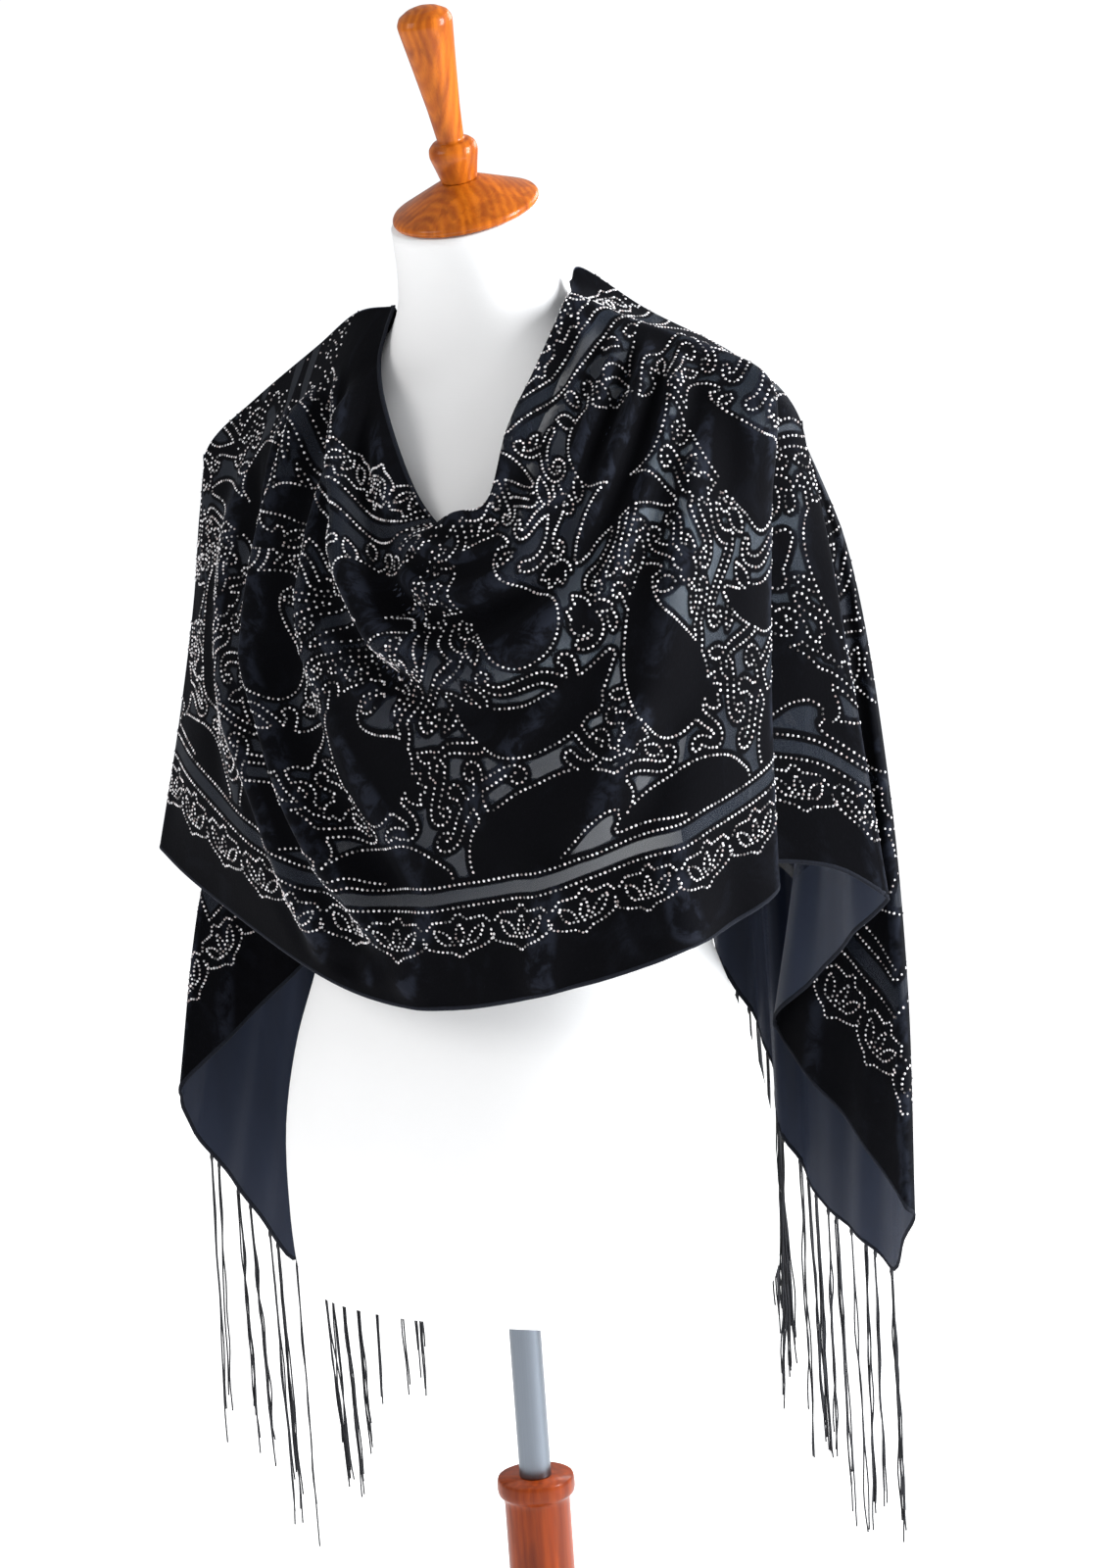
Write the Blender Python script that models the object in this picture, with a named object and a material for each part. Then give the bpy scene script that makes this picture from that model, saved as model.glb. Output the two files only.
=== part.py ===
"""A velvet shawl draped over a limbless dress form on a turned wooden stand.

Metres, +Z up. The origin is on the floor under the pole and the form faces -Y.
The shawl is one rectangle. A front stretch runs from one outer fold to the other,
and each end goes over a shoulder and falls behind it in zigzag pleats with a fringe."""

import itertools
import math

import bpy
import numpy as np
from mathutils import Vector
from mathutils.bvhtree import BVHTree

# Cloth
WALL = 0.0014  # thickness of the cloth wall
BODY_GAP = 0.0015  # least distance from the form to the middle of the wall
END_GAP = 0.0028  # the same for the two ends
PUSH_ROUNDS = 8  # times that the places between the points are looked at
SOFT_GAP = 0.002  # how gently the cloth comes to lie on the form
NEAR = 0.02  # no point farther from the form than this is moved
SEAM = 0.0003  # gap between two pieces of the cloth
FOLD_STEP = 0.0017  # how far behind the outer fold the end of the shawl starts
SHOULDER_SHARE = 0.42  # how far along its outer fold the cloth leaves the shoulder
BACK_FOLDS = 4  # soft folds in each end as it falls down the back
BACK_FOLD_HEIGHT = 0.014

# Fringe
FRINGE_LENGTH = 0.212
STRAND_DEPTH = 0.0020
ROOT_HEIGHT = 0.004
ROOT_DROP_MINUS = 0.0016  # from the middle of the cloth's edge down to the top of the strip
ROOT_DROP_PLUS = 0.0020
STRAND_SHARES = ((0.5, 0.75, 1.0), (1.0, 0.45, -0.5))  # share of the length, of the root's size, of the sway
STRAND_SWAY = 0.0022
STRANDS = 44  # on each short end

# Stand
NECK_LEAN = math.radians(19)
POLE_RADIUS = 0.0112
COLUMN_TOP = 0.608
FORM_BOTTOM = 0.742
FORM_FULLNESS = 0.045  # how much fuller than an ellipse each level of the form is
FORM_LEVELS = 24
FORM_COLUMNS = 36
BASE_TOP = 0.034

# Rings of the form: height, half width, front and back depth, middle in Y, forward lean in degrees
RINGS = (
    (0.7420, 0.158, 0.096, 0.098, 0.025, 0),
    (0.7450, 0.169, 0.107, 0.109, 0.025, 0),
    (0.7570, 0.1755, 0.113, 0.114, 0.025, 0),
    (0.8000, 0.178, 0.115, 0.116, 0.025, 0),
    (0.8600, 0.176, 0.112, 0.118, 0.025, 0),
    (0.9200, 0.163, 0.105, 0.113, 0.025, 0),
    (0.9750, 0.143, 0.096, 0.103, 0.026, 0),
    (1.0300, 0.126, 0.089, 0.093, 0.028, 0),
    (1.0800, 0.122, 0.089, 0.088, 0.030, 0),
    (1.1300, 0.131, 0.100, 0.091, 0.031, 0),
    (1.1900, 0.146, 0.119, 0.097, 0.032, 0),
    (1.2400, 0.154, 0.117, 0.101, 0.034, 0),
    (1.2800, 0.161, 0.100, 0.101, 0.038, 0),
    (1.3150, 0.170, 0.082, 0.094, 0.044, 0),
    (1.3400, 0.170, 0.068, 0.081, 0.050, 0),
    (1.3580, 0.155, 0.058, 0.070, 0.054, 0),
    (1.3750, 0.127, 0.052, 0.060, 0.057, 2),
    (1.3920, 0.096, 0.050, 0.054, 0.059, 5),
    (1.4100, 0.073, 0.049, 0.051, 0.058, 10),
    (1.4300, 0.061, 0.0485, 0.050, 0.055, 14),
    (1.4550, 0.055, 0.0485, 0.049, 0.0475, 17),
    (1.4870, 0.0512, 0.0485, 0.0485, 0.0365, 19),
)

# Ribs of the front stretch, from the outer fold at -X to the outer fold at +X. Each row has nine
# points x, y, z from the neck edge to the lower hem, at RIB_SHARES of the cloth's width. The neck
# edge is turned in behind the lip of the cowl from chest_3 to pleat_outer.
FRONT_RIBS = (
    ("fold_minus", ((-0.064, 0.045, 1.427), (-0.097, 0.055, 1.424), (-0.133, 0.060, 1.402),
                    (-0.185, 0.058, 1.367), (-0.222, 0.050, 1.335), (-0.226, 0.036, 1.295),
                    (-0.229, 0.024, 1.238), (-0.242, 0.010, 1.150), (-0.263, 0.000, 1.057))),
    ("chest_1", ((-0.061, 0.010, 1.394), (-0.078, 0.006, 1.387), (-0.094, 0.003, 1.374),
                 (-0.132, -0.004, 1.330), (-0.165, -0.014, 1.269), (-0.184, -0.022, 1.209),
                 (-0.197, -0.028, 1.148), (-0.210, -0.032, 1.087), (-0.210, -0.034, 1.035))),
    ("chest_2", ((-0.038, -0.030, 1.358), (-0.049, -0.040, 1.349), (-0.062, -0.050, 1.328),
                 (-0.083, -0.066, 1.281), (-0.097, -0.080, 1.224), (-0.106, -0.088, 1.166),
                 (-0.112, -0.090, 1.106), (-0.110, -0.090, 1.052), (-0.098, -0.086, 0.991))),
    ("chest_3", ((-0.003, -0.060, 1.303), (-0.013, -0.082, 1.285), (-0.018, -0.095, 1.268),
                 (-0.027, -0.107, 1.227), (-0.034, -0.111, 1.183), (-0.039, -0.111, 1.131),
                 (-0.042, -0.109, 1.078), (-0.040, -0.106, 1.024), (-0.030, -0.103, 0.974))),
    ("middle", ((0.030, -0.067, 1.281), (0.033, -0.086, 1.299), (0.033, -0.101, 1.277),
                (0.032, -0.112, 1.241), (0.032, -0.116, 1.196), (0.032, -0.116, 1.145),
                (0.028, -0.113, 1.086), (0.025, -0.110, 1.027), (0.022, -0.107, 0.974))),
    ("chest_4", ((0.059, -0.064, 1.290), (0.057, -0.084, 1.306), (0.074, -0.099, 1.276),
                 (0.093, -0.110, 1.240), (0.101, -0.114, 1.196), (0.103, -0.114, 1.145),
                 (0.101, -0.112, 1.087), (0.098, -0.110, 1.035), (0.094, -0.107, 0.988))),
    ("chest_5", ((0.063, -0.022, 1.338), (0.058, -0.048, 1.349), (0.090, -0.064, 1.322),
                 (0.126, -0.084, 1.273), (0.150, -0.098, 1.222), (0.158, -0.101, 1.169),
                 (0.162, -0.100, 1.115), (0.164, -0.100, 1.060), (0.164, -0.098, 1.009))),
    ("chest_6", ((0.072, 0.006, 1.377), (0.065, -0.014, 1.384), (0.099, -0.022, 1.367),
                 (0.146, -0.040, 1.334), (0.183, -0.058, 1.275), (0.197, -0.067, 1.213),
                 (0.203, -0.069, 1.154), (0.203, -0.068, 1.086), (0.200, -0.066, 1.025))),
    ("pleat_outer", ((0.074, 0.030, 1.414), (0.077, 0.018, 1.426), (0.116, 0.024, 1.408),
                     (0.169, 0.020, 1.389), (0.220, 0.006, 1.358), (0.223, -0.010, 1.281),
                     (0.222, -0.020, 1.200), (0.223, -0.030, 1.124), (0.224, -0.035, 1.044))),
    ("pleat_inner", ((0.072, 0.037, 1.422), (0.076, 0.032, 1.430), (0.114, 0.038, 1.411),
                     (0.170, 0.038, 1.388), (0.212, 0.030, 1.356), (0.204, 0.012, 1.282),
                     (0.198, 0.002, 1.203), (0.198, -0.008, 1.133), (0.200, -0.012, 1.055))),
    ("wing", ((0.070, 0.044, 1.430), (0.074, 0.045, 1.436), (0.113, 0.050, 1.414),
              (0.172, 0.052, 1.387), (0.217, 0.044, 1.352), (0.226, 0.034, 1.286),
              (0.228, 0.026, 1.212), (0.232, 0.020, 1.128), (0.243, 0.015, 1.048))),
    ("fold_plus", ((0.067, 0.050, 1.438), (0.072, 0.056, 1.446), (0.112, 0.062, 1.418),
                   (0.174, 0.062, 1.385), (0.219, 0.056, 1.347), (0.236, 0.050, 1.278),
                   (0.248, 0.045, 1.204), (0.261, 0.040, 1.118), (0.275, 0.035, 1.024))),
)
FOLDS_TOP = 1.40  # no fold is drawn above this height, where the cloth lies on the neck
FOLDS_FADE = 0.03
EVENING_ROUNDS = 4  # times that the heights of the folds are evened out where they cross
FOLD_ENDS = (0.15, 0.25)  # shares of a fold's length over which it rises and dies away
RIB_SHARES = (0.0, 0.07, 0.15, 0.27, 0.40, 0.53, 0.67, 0.83, 1.0)

# Main folds of the front stretch as ridges seen from the front: half width, height, then x and z of
# five points along the ridge
FRONT_FOLDS = (
    ("from_shoulder", 0.022, 0.016,
     (-0.104, -0.150, -0.168, -0.152, -0.075), (1.385, 1.310, 1.215, 1.110, 1.005)),
    ("beside_it", 0.018, 0.008,
     (-0.086, -0.124, -0.138, -0.132, -0.110), (1.385, 1.330, 1.265, 1.200, 1.120)),
    ("into_cowl", 0.021, 0.013,
     (-0.070, -0.084, -0.078, -0.040, 0.020), (1.372, 1.310, 1.255, 1.212, 1.195)),
    ("swag", 0.021, 0.010,
     (-0.055, -0.015, 0.035, 0.088, 0.112), (1.300, 1.252, 1.240, 1.280, 1.350)),
    ("low_swag", 0.024, 0.008,
     (-0.060, 0.000, 0.060, 0.115, 0.150), (1.175, 1.150, 1.165, 1.230, 1.320)),
    ("plus_shoulder", 0.018, 0.010,
     (0.128, 0.112, 0.098, 0.090, 0.086), (1.372, 1.318, 1.258, 1.200, 1.140)),
    ("plus_side", 0.022, 0.008,
     (0.160, 0.168, 0.160, 0.140, 0.120), (1.340, 1.250, 1.170, 1.100, 1.010)),
    ("hem_wave_1", 0.024, 0.007,
     (-0.010, -0.004, 0.000, 0.002, 0.004), (1.090, 1.060, 1.030, 1.000, 0.965)),
    ("hem_wave_2", 0.020, -0.006,
     (0.115, 0.118, 0.122, 0.126, 0.130), (1.090, 1.060, 1.030, 1.000, 0.980)),
    ("hem_wave_3", 0.020, -0.006,
     (-0.150, -0.148, -0.146, -0.144, -0.142), (1.080, 1.060, 1.040, 1.010, 0.980)),
)

# Ribs of each end, from the outer fold round the zigzag hem to the corner and then along the short
# edge to the neck edge. Each row: the share of the shoulder ridge where the rib starts, half of the
# length over which the turn there is rounded, then four points x, y, z from behind the ridge down.
END_PLUS = (
    ("turn_1", 0.40, 0.022, ((0.208, 0.096, 1.250), (0.196, 0.104, 1.140),
                             (0.172, 0.120, 1.020), (0.138, 0.143, 0.903))),
    ("turn_2", 0.37, 0.018, ((0.226, 0.114, 1.240), (0.240, 0.124, 1.100),
                             (0.256, 0.100, 0.950), (0.267, 0.062, 0.795))),
    ("corner", 0.34, 0.012, ((0.214, 0.134, 1.220), (0.224, 0.146, 1.070),
                             (0.234, 0.126, 0.905), (0.239, 0.090, 0.738))),
    ("edge_1", 0.30, 0.020, ((0.190, 0.146, 1.220), (0.198, 0.162, 1.070),
                             (0.200, 0.148, 0.915), (0.199, 0.120, 0.756))),
    ("edge_2", 0.25, 0.020, ((0.168, 0.146, 1.240), (0.173, 0.168, 1.090),
                             (0.170, 0.158, 0.925), (0.167, 0.140, 0.766))),
    ("edge_3", 0.20, 0.020, ((0.140, 0.145, 1.255), (0.144, 0.164, 1.105),
                             (0.142, 0.164, 0.945), (0.142, 0.153, 0.782))),
    ("edge_4", 0.10, 0.030, ((0.105, 0.145, 1.290), (0.106, 0.160, 1.160),
                             (0.104, 0.176, 1.025), (0.102, 0.184, 0.892))),
    ("neck_edge", 0.0, 0.020, ((0.066, 0.128, 1.350), (0.060, 0.150, 1.250),
                               (0.054, 0.160, 1.150), (0.048, 0.172, 1.030))),
)
END_MINUS = (
    ("turn_1", 0.40, 0.022, ((-0.216, 0.080, 1.250), (-0.209, 0.090, 1.150),
                             (-0.200, 0.104, 1.060), (-0.186, 0.130, 0.974))),
    ("turn_2", 0.37, 0.018, ((-0.236, 0.096, 1.230), (-0.262, 0.098, 1.100),
                             (-0.286, 0.066, 0.980), (-0.293, 0.028, 0.862))),
    ("corner", 0.34, 0.012, ((-0.226, 0.118, 1.210), (-0.250, 0.124, 1.085),
                             (-0.274, 0.092, 0.955), (-0.286, 0.041, 0.825))),
    ("edge_1", 0.30, 0.018, ((-0.212, 0.134, 1.200), (-0.234, 0.142, 1.060),
                             (-0.256, 0.112, 0.910), (-0.267, 0.070, 0.772))),
    ("edge_2", 0.25, 0.012, ((-0.196, 0.142, 1.190), (-0.215, 0.154, 1.030),
                             (-0.235, 0.132, 0.870), (-0.249, 0.098, 0.711))),
    ("edge_3", 0.20, 0.020, ((-0.172, 0.144, 1.210), (-0.190, 0.160, 1.060),
                             (-0.210, 0.154, 0.905), (-0.226, 0.140, 0.757))),
    ("edge_4", 0.10, 0.030, ((-0.120, 0.144, 1.270), (-0.140, 0.160, 1.120),
                             (-0.160, 0.168, 0.975), (-0.178, 0.172, 0.828))),
    ("neck_edge", 0.0, 0.020, ((-0.068, 0.128, 1.330), (-0.066, 0.150, 1.220),
                               (-0.062, 0.162, 1.110), (-0.058, 0.176, 0.985))),
)
END_SHARES = (0.0, 0.24, 0.49, 0.74, 1.0)
TURN_STATIONS = (-1.0, -0.45, -0.18, 0.0, 0.18, 0.45, 1.0)  # finest where a pleat turns
FOLD_ROUNDING = 0.004  # the same rounding at the outer fold
CORNER_REACH = 0.08  # how far from the outer fold the cloth behind the shoulder is evened out
CORNER_ROUNDS = 6
TURN_WIDTH = 0.005  # how far apart a turn keeps the two layers of a pleat
TURN_SHARE = 0.2  # how much of the rounded length that takes
NORMAL_ROUNDS = 40  # times that a normal is turned towards the small triangle that it faces least
NORMAL_TURN = 0.2
LEAST_FACING = 0.6


def stations(*spans):
    """Places from one span after another, each given as its start, its end and how many steps it has."""
    places = [spans[0][0]]
    for low, high, steps in spans:
        places += list(np.linspace(low, high, steps + 1)[1:])
    return np.array(places)


# The shares of the width at which the front has points: finest at the rolled lip and the upper folds
CLOTH_SHARES = stations((0, 0.07, 2), (0.07, SHOULDER_SHARE, 10), (SHOULDER_SHARE, 0.60, 4), (0.60, 1, 7))


def clear_scene():
    for obj in list(bpy.data.objects):
        bpy.data.objects.remove(obj)


def material(name, colour, roughness, metallic=0.0):
    made = bpy.data.materials.new(name)
    made.use_nodes = True
    shader = made.node_tree.nodes["Principled BSDF"]
    shader.inputs["Base Color"].default_value = (*colour, 1.0)
    shader.inputs["Roughness"].default_value = roughness
    shader.inputs["Metallic"].default_value = metallic
    made.diffuse_color = (*colour, 1.0)
    return made


def add_mesh(name, points, faces, look):
    mesh = bpy.data.meshes.new(name)
    mesh.from_pydata([tuple(point) for point in points], [], [tuple(face) for face in faces])
    mesh.update()
    obj = bpy.data.objects.new(name, mesh)
    bpy.context.scene.collection.objects.link(obj)
    mesh.materials.append(look)
    return obj


def smooth(stations, values, at):
    """A smooth curve through the rows of values at the stations, read at each place in at."""
    stations = np.asarray(stations, float)
    values = np.asarray(values, float)
    at = np.clip(np.asarray(at, float), stations[0], stations[-1])
    slopes = np.gradient(values, stations, axis=0)
    cell = np.clip(np.searchsorted(stations, at, side="right") - 1, 0, len(stations) - 2)
    width = stations[cell + 1] - stations[cell]
    part = (at - stations[cell]) / width
    spread = (...,) + (None,) * (values.ndim - 1)
    part = part[spread]
    width = width[spread]
    square = part * part
    cube = square * part
    return (
        (2 * cube - 3 * square + 1) * values[cell]
        + (cube - 2 * square + part) * width * slopes[cell]
        + (3 * square - 2 * cube) * values[cell + 1]
        + (cube - square) * width * slopes[cell + 1]
    )


def ring(height, half_width, front, back, middle, lean, count):
    """One level of the form, its front drawn fuller than an ellipse."""
    angles = np.arange(count) * 2 * math.pi / count
    across = np.cos(angles)
    along = np.sin(angles)
    full = 1 + FORM_FULLNESS * (2 * across * along) ** 2
    x = half_width * across * full
    y = np.where(along < 0, front, back) * along * full
    tilt = math.radians(lean)
    return np.stack([x, middle + y * math.cos(tilt), height + y * math.sin(tilt)], axis=1)


def torso(rows, columns):
    """Points and faces of the whole form, closed by a fan at each end."""
    table = np.array(RINGS)
    fixed = [0, 1, 2]
    free = np.linspace(2, len(RINGS) - 1, rows - 1)[1:]
    levels = np.concatenate([fixed, free])
    shapes = smooth(np.arange(len(RINGS)), table, levels)
    points = np.concatenate([ring(*shape, columns) for shape in shapes])
    faces = []
    for level in range(len(shapes) - 1):
        for column in range(columns):
            after = (column + 1) % columns
            a = level * columns + column
            b = level * columns + after
            faces.append((a, b, b + columns, a + columns))
    low = len(points)
    top = low + 1
    last = (len(shapes) - 1) * columns
    ends = [(0, table[0][4], table[0][0]), (0, table[-1][4], table[-1][0])]
    points = np.concatenate([points, ends])
    for column in range(columns):
        after = (column + 1) % columns
        faces.append((low, after, column))
        faces.append((top, last + column, last + after))
    return points, faces


def turned(name, profile, look, foot=(0, 0, 0), lean=0.0, sides=32):
    """A solid of revolution from rows of radius and height, leaning forward about its foot."""
    points = []
    faces = []
    rims = [row for row in profile if row[0] > 0]
    for radius, height in rims:
        for side in range(sides):
            angle = side * 2 * math.pi / sides
            x = radius * math.cos(angle)
            y = radius * math.sin(angle)
            points.append((x, y, height))
    for level in range(len(rims) - 1):
        for side in range(sides):
            after = (side + 1) % sides
            a = level * sides + side
            b = level * sides + after
            faces.append((a, b, b + sides, a + sides))
    last = (len(rims) - 1) * sides
    points += [(0, 0, profile[0][1]), (0, 0, profile[-1][1])]
    for side in range(sides):
        after = (side + 1) % sides
        faces.append((len(points) - 2, after, side))
        faces.append((len(points) - 1, last + side, last + after))
    flat = np.array(points)
    y = flat[:, 1] * math.cos(lean) - flat[:, 2] * math.sin(lean)
    z = flat[:, 1] * math.sin(lean) + flat[:, 2] * math.cos(lean)
    return add_mesh(name, np.stack([flat[:, 0], y, z], axis=1) + np.array(foot), faces, look)


def normals_of(grid):
    """Unit normals of a grid of points, to the side that the face of the cloth is on."""
    first = np.gradient(grid, axis=0)
    second = np.gradient(grid, axis=1)
    normal = np.cross(second, first)
    return normal / np.maximum(np.linalg.norm(normal, axis=2, keepdims=True), 1e-9)


def push_out(grid, tree, gap, fixed=None):
    """Moves what is nearer the form than the gap out to it, also between the points, but no fixed point."""
    moved = grid.copy()
    free = np.ones(grid.shape[:2]) if fixed is None else 1.0 - fixed
    for index in np.ndindex(grid.shape[:2]):
        distance, normal = height_above(moved[index], tree)
        if distance < NEAR:
            soft = 0.5 * (math.sqrt((distance - gap) ** 2 + SOFT_GAP**2) + distance + gap)
            fade = min(1, (NEAR - distance) / SOFT_GAP)
            moved[index] += normal * (soft - distance) * fade * free[index]
    for _ in range(PUSH_ROUNDS):
        for i, j in np.ndindex(grid.shape[0] - 1, grid.shape[1] - 1):
            corners = ((i, j), (i + 1, j), (i, j + 1), (i + 1, j + 1))
            for first, second in itertools.combinations(corners, 2):
                distance, normal = height_above((moved[first] + moved[second]) / 2, tree)
                if distance < gap:
                    share = max(free[first] + free[second], 1)
                    moved[first] += normal * (gap - distance) * 2 * free[first] / share
                    moved[second] += normal * (gap - distance) * 2 * free[second] / share
    return moved


def height_above(point, tree):
    """How far a point is outside the form, and the way out."""
    near, normal, _, _ = tree.find_nearest(Vector(point))
    away = Vector(point) - near
    return (away.length if away.dot(normal) >= 0 else -away.length), np.array(normal)


def ridge_offset(x, z, ridge_x, ridge_z, half_width, height):
    """How far a fold lifts the cloth at x, z: full on its ridge, fading across it and to its two ends."""
    along = np.linspace(0, 1, 41)
    line_x = smooth(np.linspace(0, 1, 5), ridge_x, along)
    line_z = smooth(np.linspace(0, 1, 5), ridge_z, along)
    far = np.hypot(x[..., None] - line_x, z[..., None] - line_z)
    nearest = far.argmin(axis=-1)
    share = along[nearest]
    rise, fall = FOLD_ENDS
    fade = np.clip(share / rise, 0.35, 1) * np.clip((1 - share) / fall, 0, 1)
    return height * fade * np.exp(-((far.min(axis=-1) / half_width) ** 2))


def front_surface(places, shares, tree):
    """The middle of the cloth wall over the chest, as a grid of rib places by shares across the cloth."""
    ribs = np.array([points for _, points in FRONT_RIBS])
    across = smooth(RIB_SHARES, ribs.transpose(1, 0, 2), shares)
    base = smooth(np.arange(len(FRONT_RIBS)), across.transpose(1, 0, 2), places)
    base = push_out(base, tree, BODY_GAP)
    lift = np.zeros(base.shape[:2])
    for _, half_width, height, ridge_x, ridge_z in FRONT_FOLDS:
        lift += ridge_offset(base[..., 0], base[..., 2], ridge_x, ridge_z, half_width, height)
    for _ in range(EVENING_ROUNDS):
        around = lift[:-2, 1:-1] + lift[2:, 1:-1] + lift[1:-1, :-2] + lift[1:-1, 2:]
        lift[1:-1, 1:-1] = lift[1:-1, 1:-1] / 2 + around / 8
    level = np.clip((FOLDS_TOP - base[..., 2]) / FOLDS_FADE, 0, 1)
    edge = np.minimum(np.asarray(places), len(FRONT_RIBS) - 1 - np.asarray(places))
    flat = np.clip(edge, 0, 1)[:, None]
    return base + normals_of(base) * (lift * level * flat)[..., None]


def end_surface(rows, edge, down, tree):
    """The middle of the wall of one end, from the front stretch's outer edge: places round the hem and
    the short edge, by shares down each rib. The edge has the points of the front at CLOTH_SHARES."""

    def on_edge(share):
        return np.stack([np.interp(share, CLOTH_SHARES, edge[:, axis]) for axis in range(3)], axis=-1)

    fall = np.array(END_SHARES)
    ribs = [on_edge(SHOULDER_SHARE + (1 - SHOULDER_SHARE) * fall)]
    for _, share, _, points in rows:
        ribs.append(np.array([on_edge(share), *points]))
    ribs = np.array(ribs)
    stops = np.concatenate([[0], np.cumsum(np.linalg.norm(np.diff(ribs[:, -1], axis=0), axis=1))])
    starts = [SHOULDER_SHARE] + [row[1] for row in rows]
    first, second, corner = stops[1:4]
    turn = np.array(TURN_STATIONS)
    neckward = [share for share in CLOTH_SHARES[::-1] if share < starts[3]]
    where = np.concatenate([
        np.linspace(0, first - rows[0][2], 4, endpoint=False),
        first + turn * rows[0][2],
        np.linspace(first + rows[0][2], second - rows[1][2], 3)[1:-1],
        second + turn * rows[1][2],
        np.linspace(second + rows[1][2], corner, 3)[1:],
        np.interp(neckward, starts[::-1], stops[::-1]),
    ])
    reach = np.interp(where, stops, [FOLD_ROUNDING] + [row[2] for row in rows])
    reach = np.minimum(reach, np.minimum(where, stops[-1] - where))
    grid = np.zeros((len(where), len(fall), 3))
    steps = np.linspace(-1, 1, 9)
    for step in steps:
        at = where + step * reach
        for column, axis in np.ndindex(len(fall), 3):
            grid[:, column, axis] += np.interp(at, stops, ribs[:, column, axis]) / len(steps)
    surface = smooth(END_SHARES, grid.transpose(1, 0, 2), down).transpose(1, 0, 2)
    behind = np.clip((where - corner) / (stops[-1] - corner), 0, 1)
    swell = (1 + np.sin(behind * 2 * math.pi * BACK_FOLDS)) / 2
    open_below = np.clip((down - 0.08) / 0.5, 0, 1)
    from_corner = np.clip(behind * 2 * BACK_FOLDS, 0, 1)
    wave = BACK_FOLD_HEIGHT * (swell * from_corner)[:, None] * open_below[None, :]
    surface += normals_of(surface) * wave[..., None]
    surface[0] = on_edge(SHOULDER_SHARE + (1 - SHOULDER_SHARE) * down)
    surface[:, 0] = on_edge(np.interp(where, stops, starts))
    surface[..., 1] += FOLD_STEP
    for stop, reach in ((first, rows[0][2]), (second, rows[1][2])):
        past = 0.5 + 0.5 * np.tanh((where - stop) / (reach * TURN_SHARE))
        surface[..., 1] += TURN_WIDTH * past[:, None] * np.clip(down / 0.2, 0, 1)
    fixed = np.zeros(surface.shape[:2])
    fixed[0] = 1
    for _ in range(CORNER_ROUNDS):
        around = surface[:-2, 1:-1] + surface[2:, 1:-1] + surface[1:-1, :-2] + surface[1:-1, 2:]
        near = np.clip(1 - (where[1:-1, None] / CORNER_REACH) - down[None, 1:-1], 0, 1)[..., None]
        surface[1:-1, 1:-1] += near * (around / 4 - surface[1:-1, 1:-1]) / 2
    surface = push_out(surface, tree, END_GAP, fixed)
    return surface, int(np.searchsorted(where, corner - 1e-9))


def wall_normals(grid):
    """Unit normals of a grid of points, each on the face side of all the small triangles round it."""
    down = np.diff(grid, axis=0)
    across = np.diff(grid, axis=1)
    first = np.cross(across[:-1], down[:, :-1])
    second = np.cross(across[1:], down[:, 1:])
    around = []
    for corner in (first, second):
        corner = corner / np.maximum(np.linalg.norm(corner, axis=2, keepdims=True), 1e-12)
        padded = np.pad(corner, ((1, 1), (1, 1), (0, 0)), mode="edge")
        around += [padded[:-1, :-1], padded[1:, :-1], padded[:-1, 1:], padded[1:, 1:]]
    around = np.array(around)
    normal = around.sum(axis=0)
    for _ in range(NORMAL_ROUNDS):
        normal = normal / np.maximum(np.linalg.norm(normal, axis=2, keepdims=True), 1e-9)
        facing = (around * normal).sum(axis=3)
        worst = np.take_along_axis(around, facing.argmin(axis=0)[None, ..., None], axis=0)[0]
        normal = normal + NORMAL_TURN * worst * (facing.min(axis=0) < LEAST_FACING)[..., None]
    return normal / np.linalg.norm(normal, axis=2, keepdims=True)


def shell(name, middle, look, thickness=WALL):
    """A closed wall on both sides of a grid of points."""
    normal = wall_normals(middle)
    rows, columns = middle.shape[:2]
    face = (middle + normal * thickness / 2).reshape(-1, 3)
    back = (middle - normal * thickness / 2).reshape(-1, 3)
    count = rows * columns
    faces = []
    flat = middle.reshape(-1, 3)
    for i in range(rows - 1):
        for j in range(columns - 1):
            a = i * columns + j
            b, c, d = a + 1, a + columns + 1, a + columns
            # both sides of the wall are split along the same diagonal, so that they stay apart
            if np.linalg.norm(flat[a] - flat[c]) < np.linalg.norm(flat[b] - flat[d]):
                pair = ((a, b, c), (a, c, d))
            else:
                pair = ((a, b, d), (b, c, d))
            faces += pair
            faces += [tuple(count + index for index in reversed(three)) for three in pair]
    rim = [(i, 0) for i in range(rows)]
    rim += [(rows - 1, j) for j in range(1, columns)]
    rim += [(i, columns - 1) for i in range(rows - 2, -1, -1)]
    rim += [(0, j) for j in range(columns - 2, 0, -1)]
    loop = [i * columns + j for i, j in rim]
    for a, b in zip(loop, loop[1:] + loop[:1]):
        faces.append((a, b, count + b, count + a))
    return add_mesh(name, np.concatenate([face, back]), faces, look)


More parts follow.
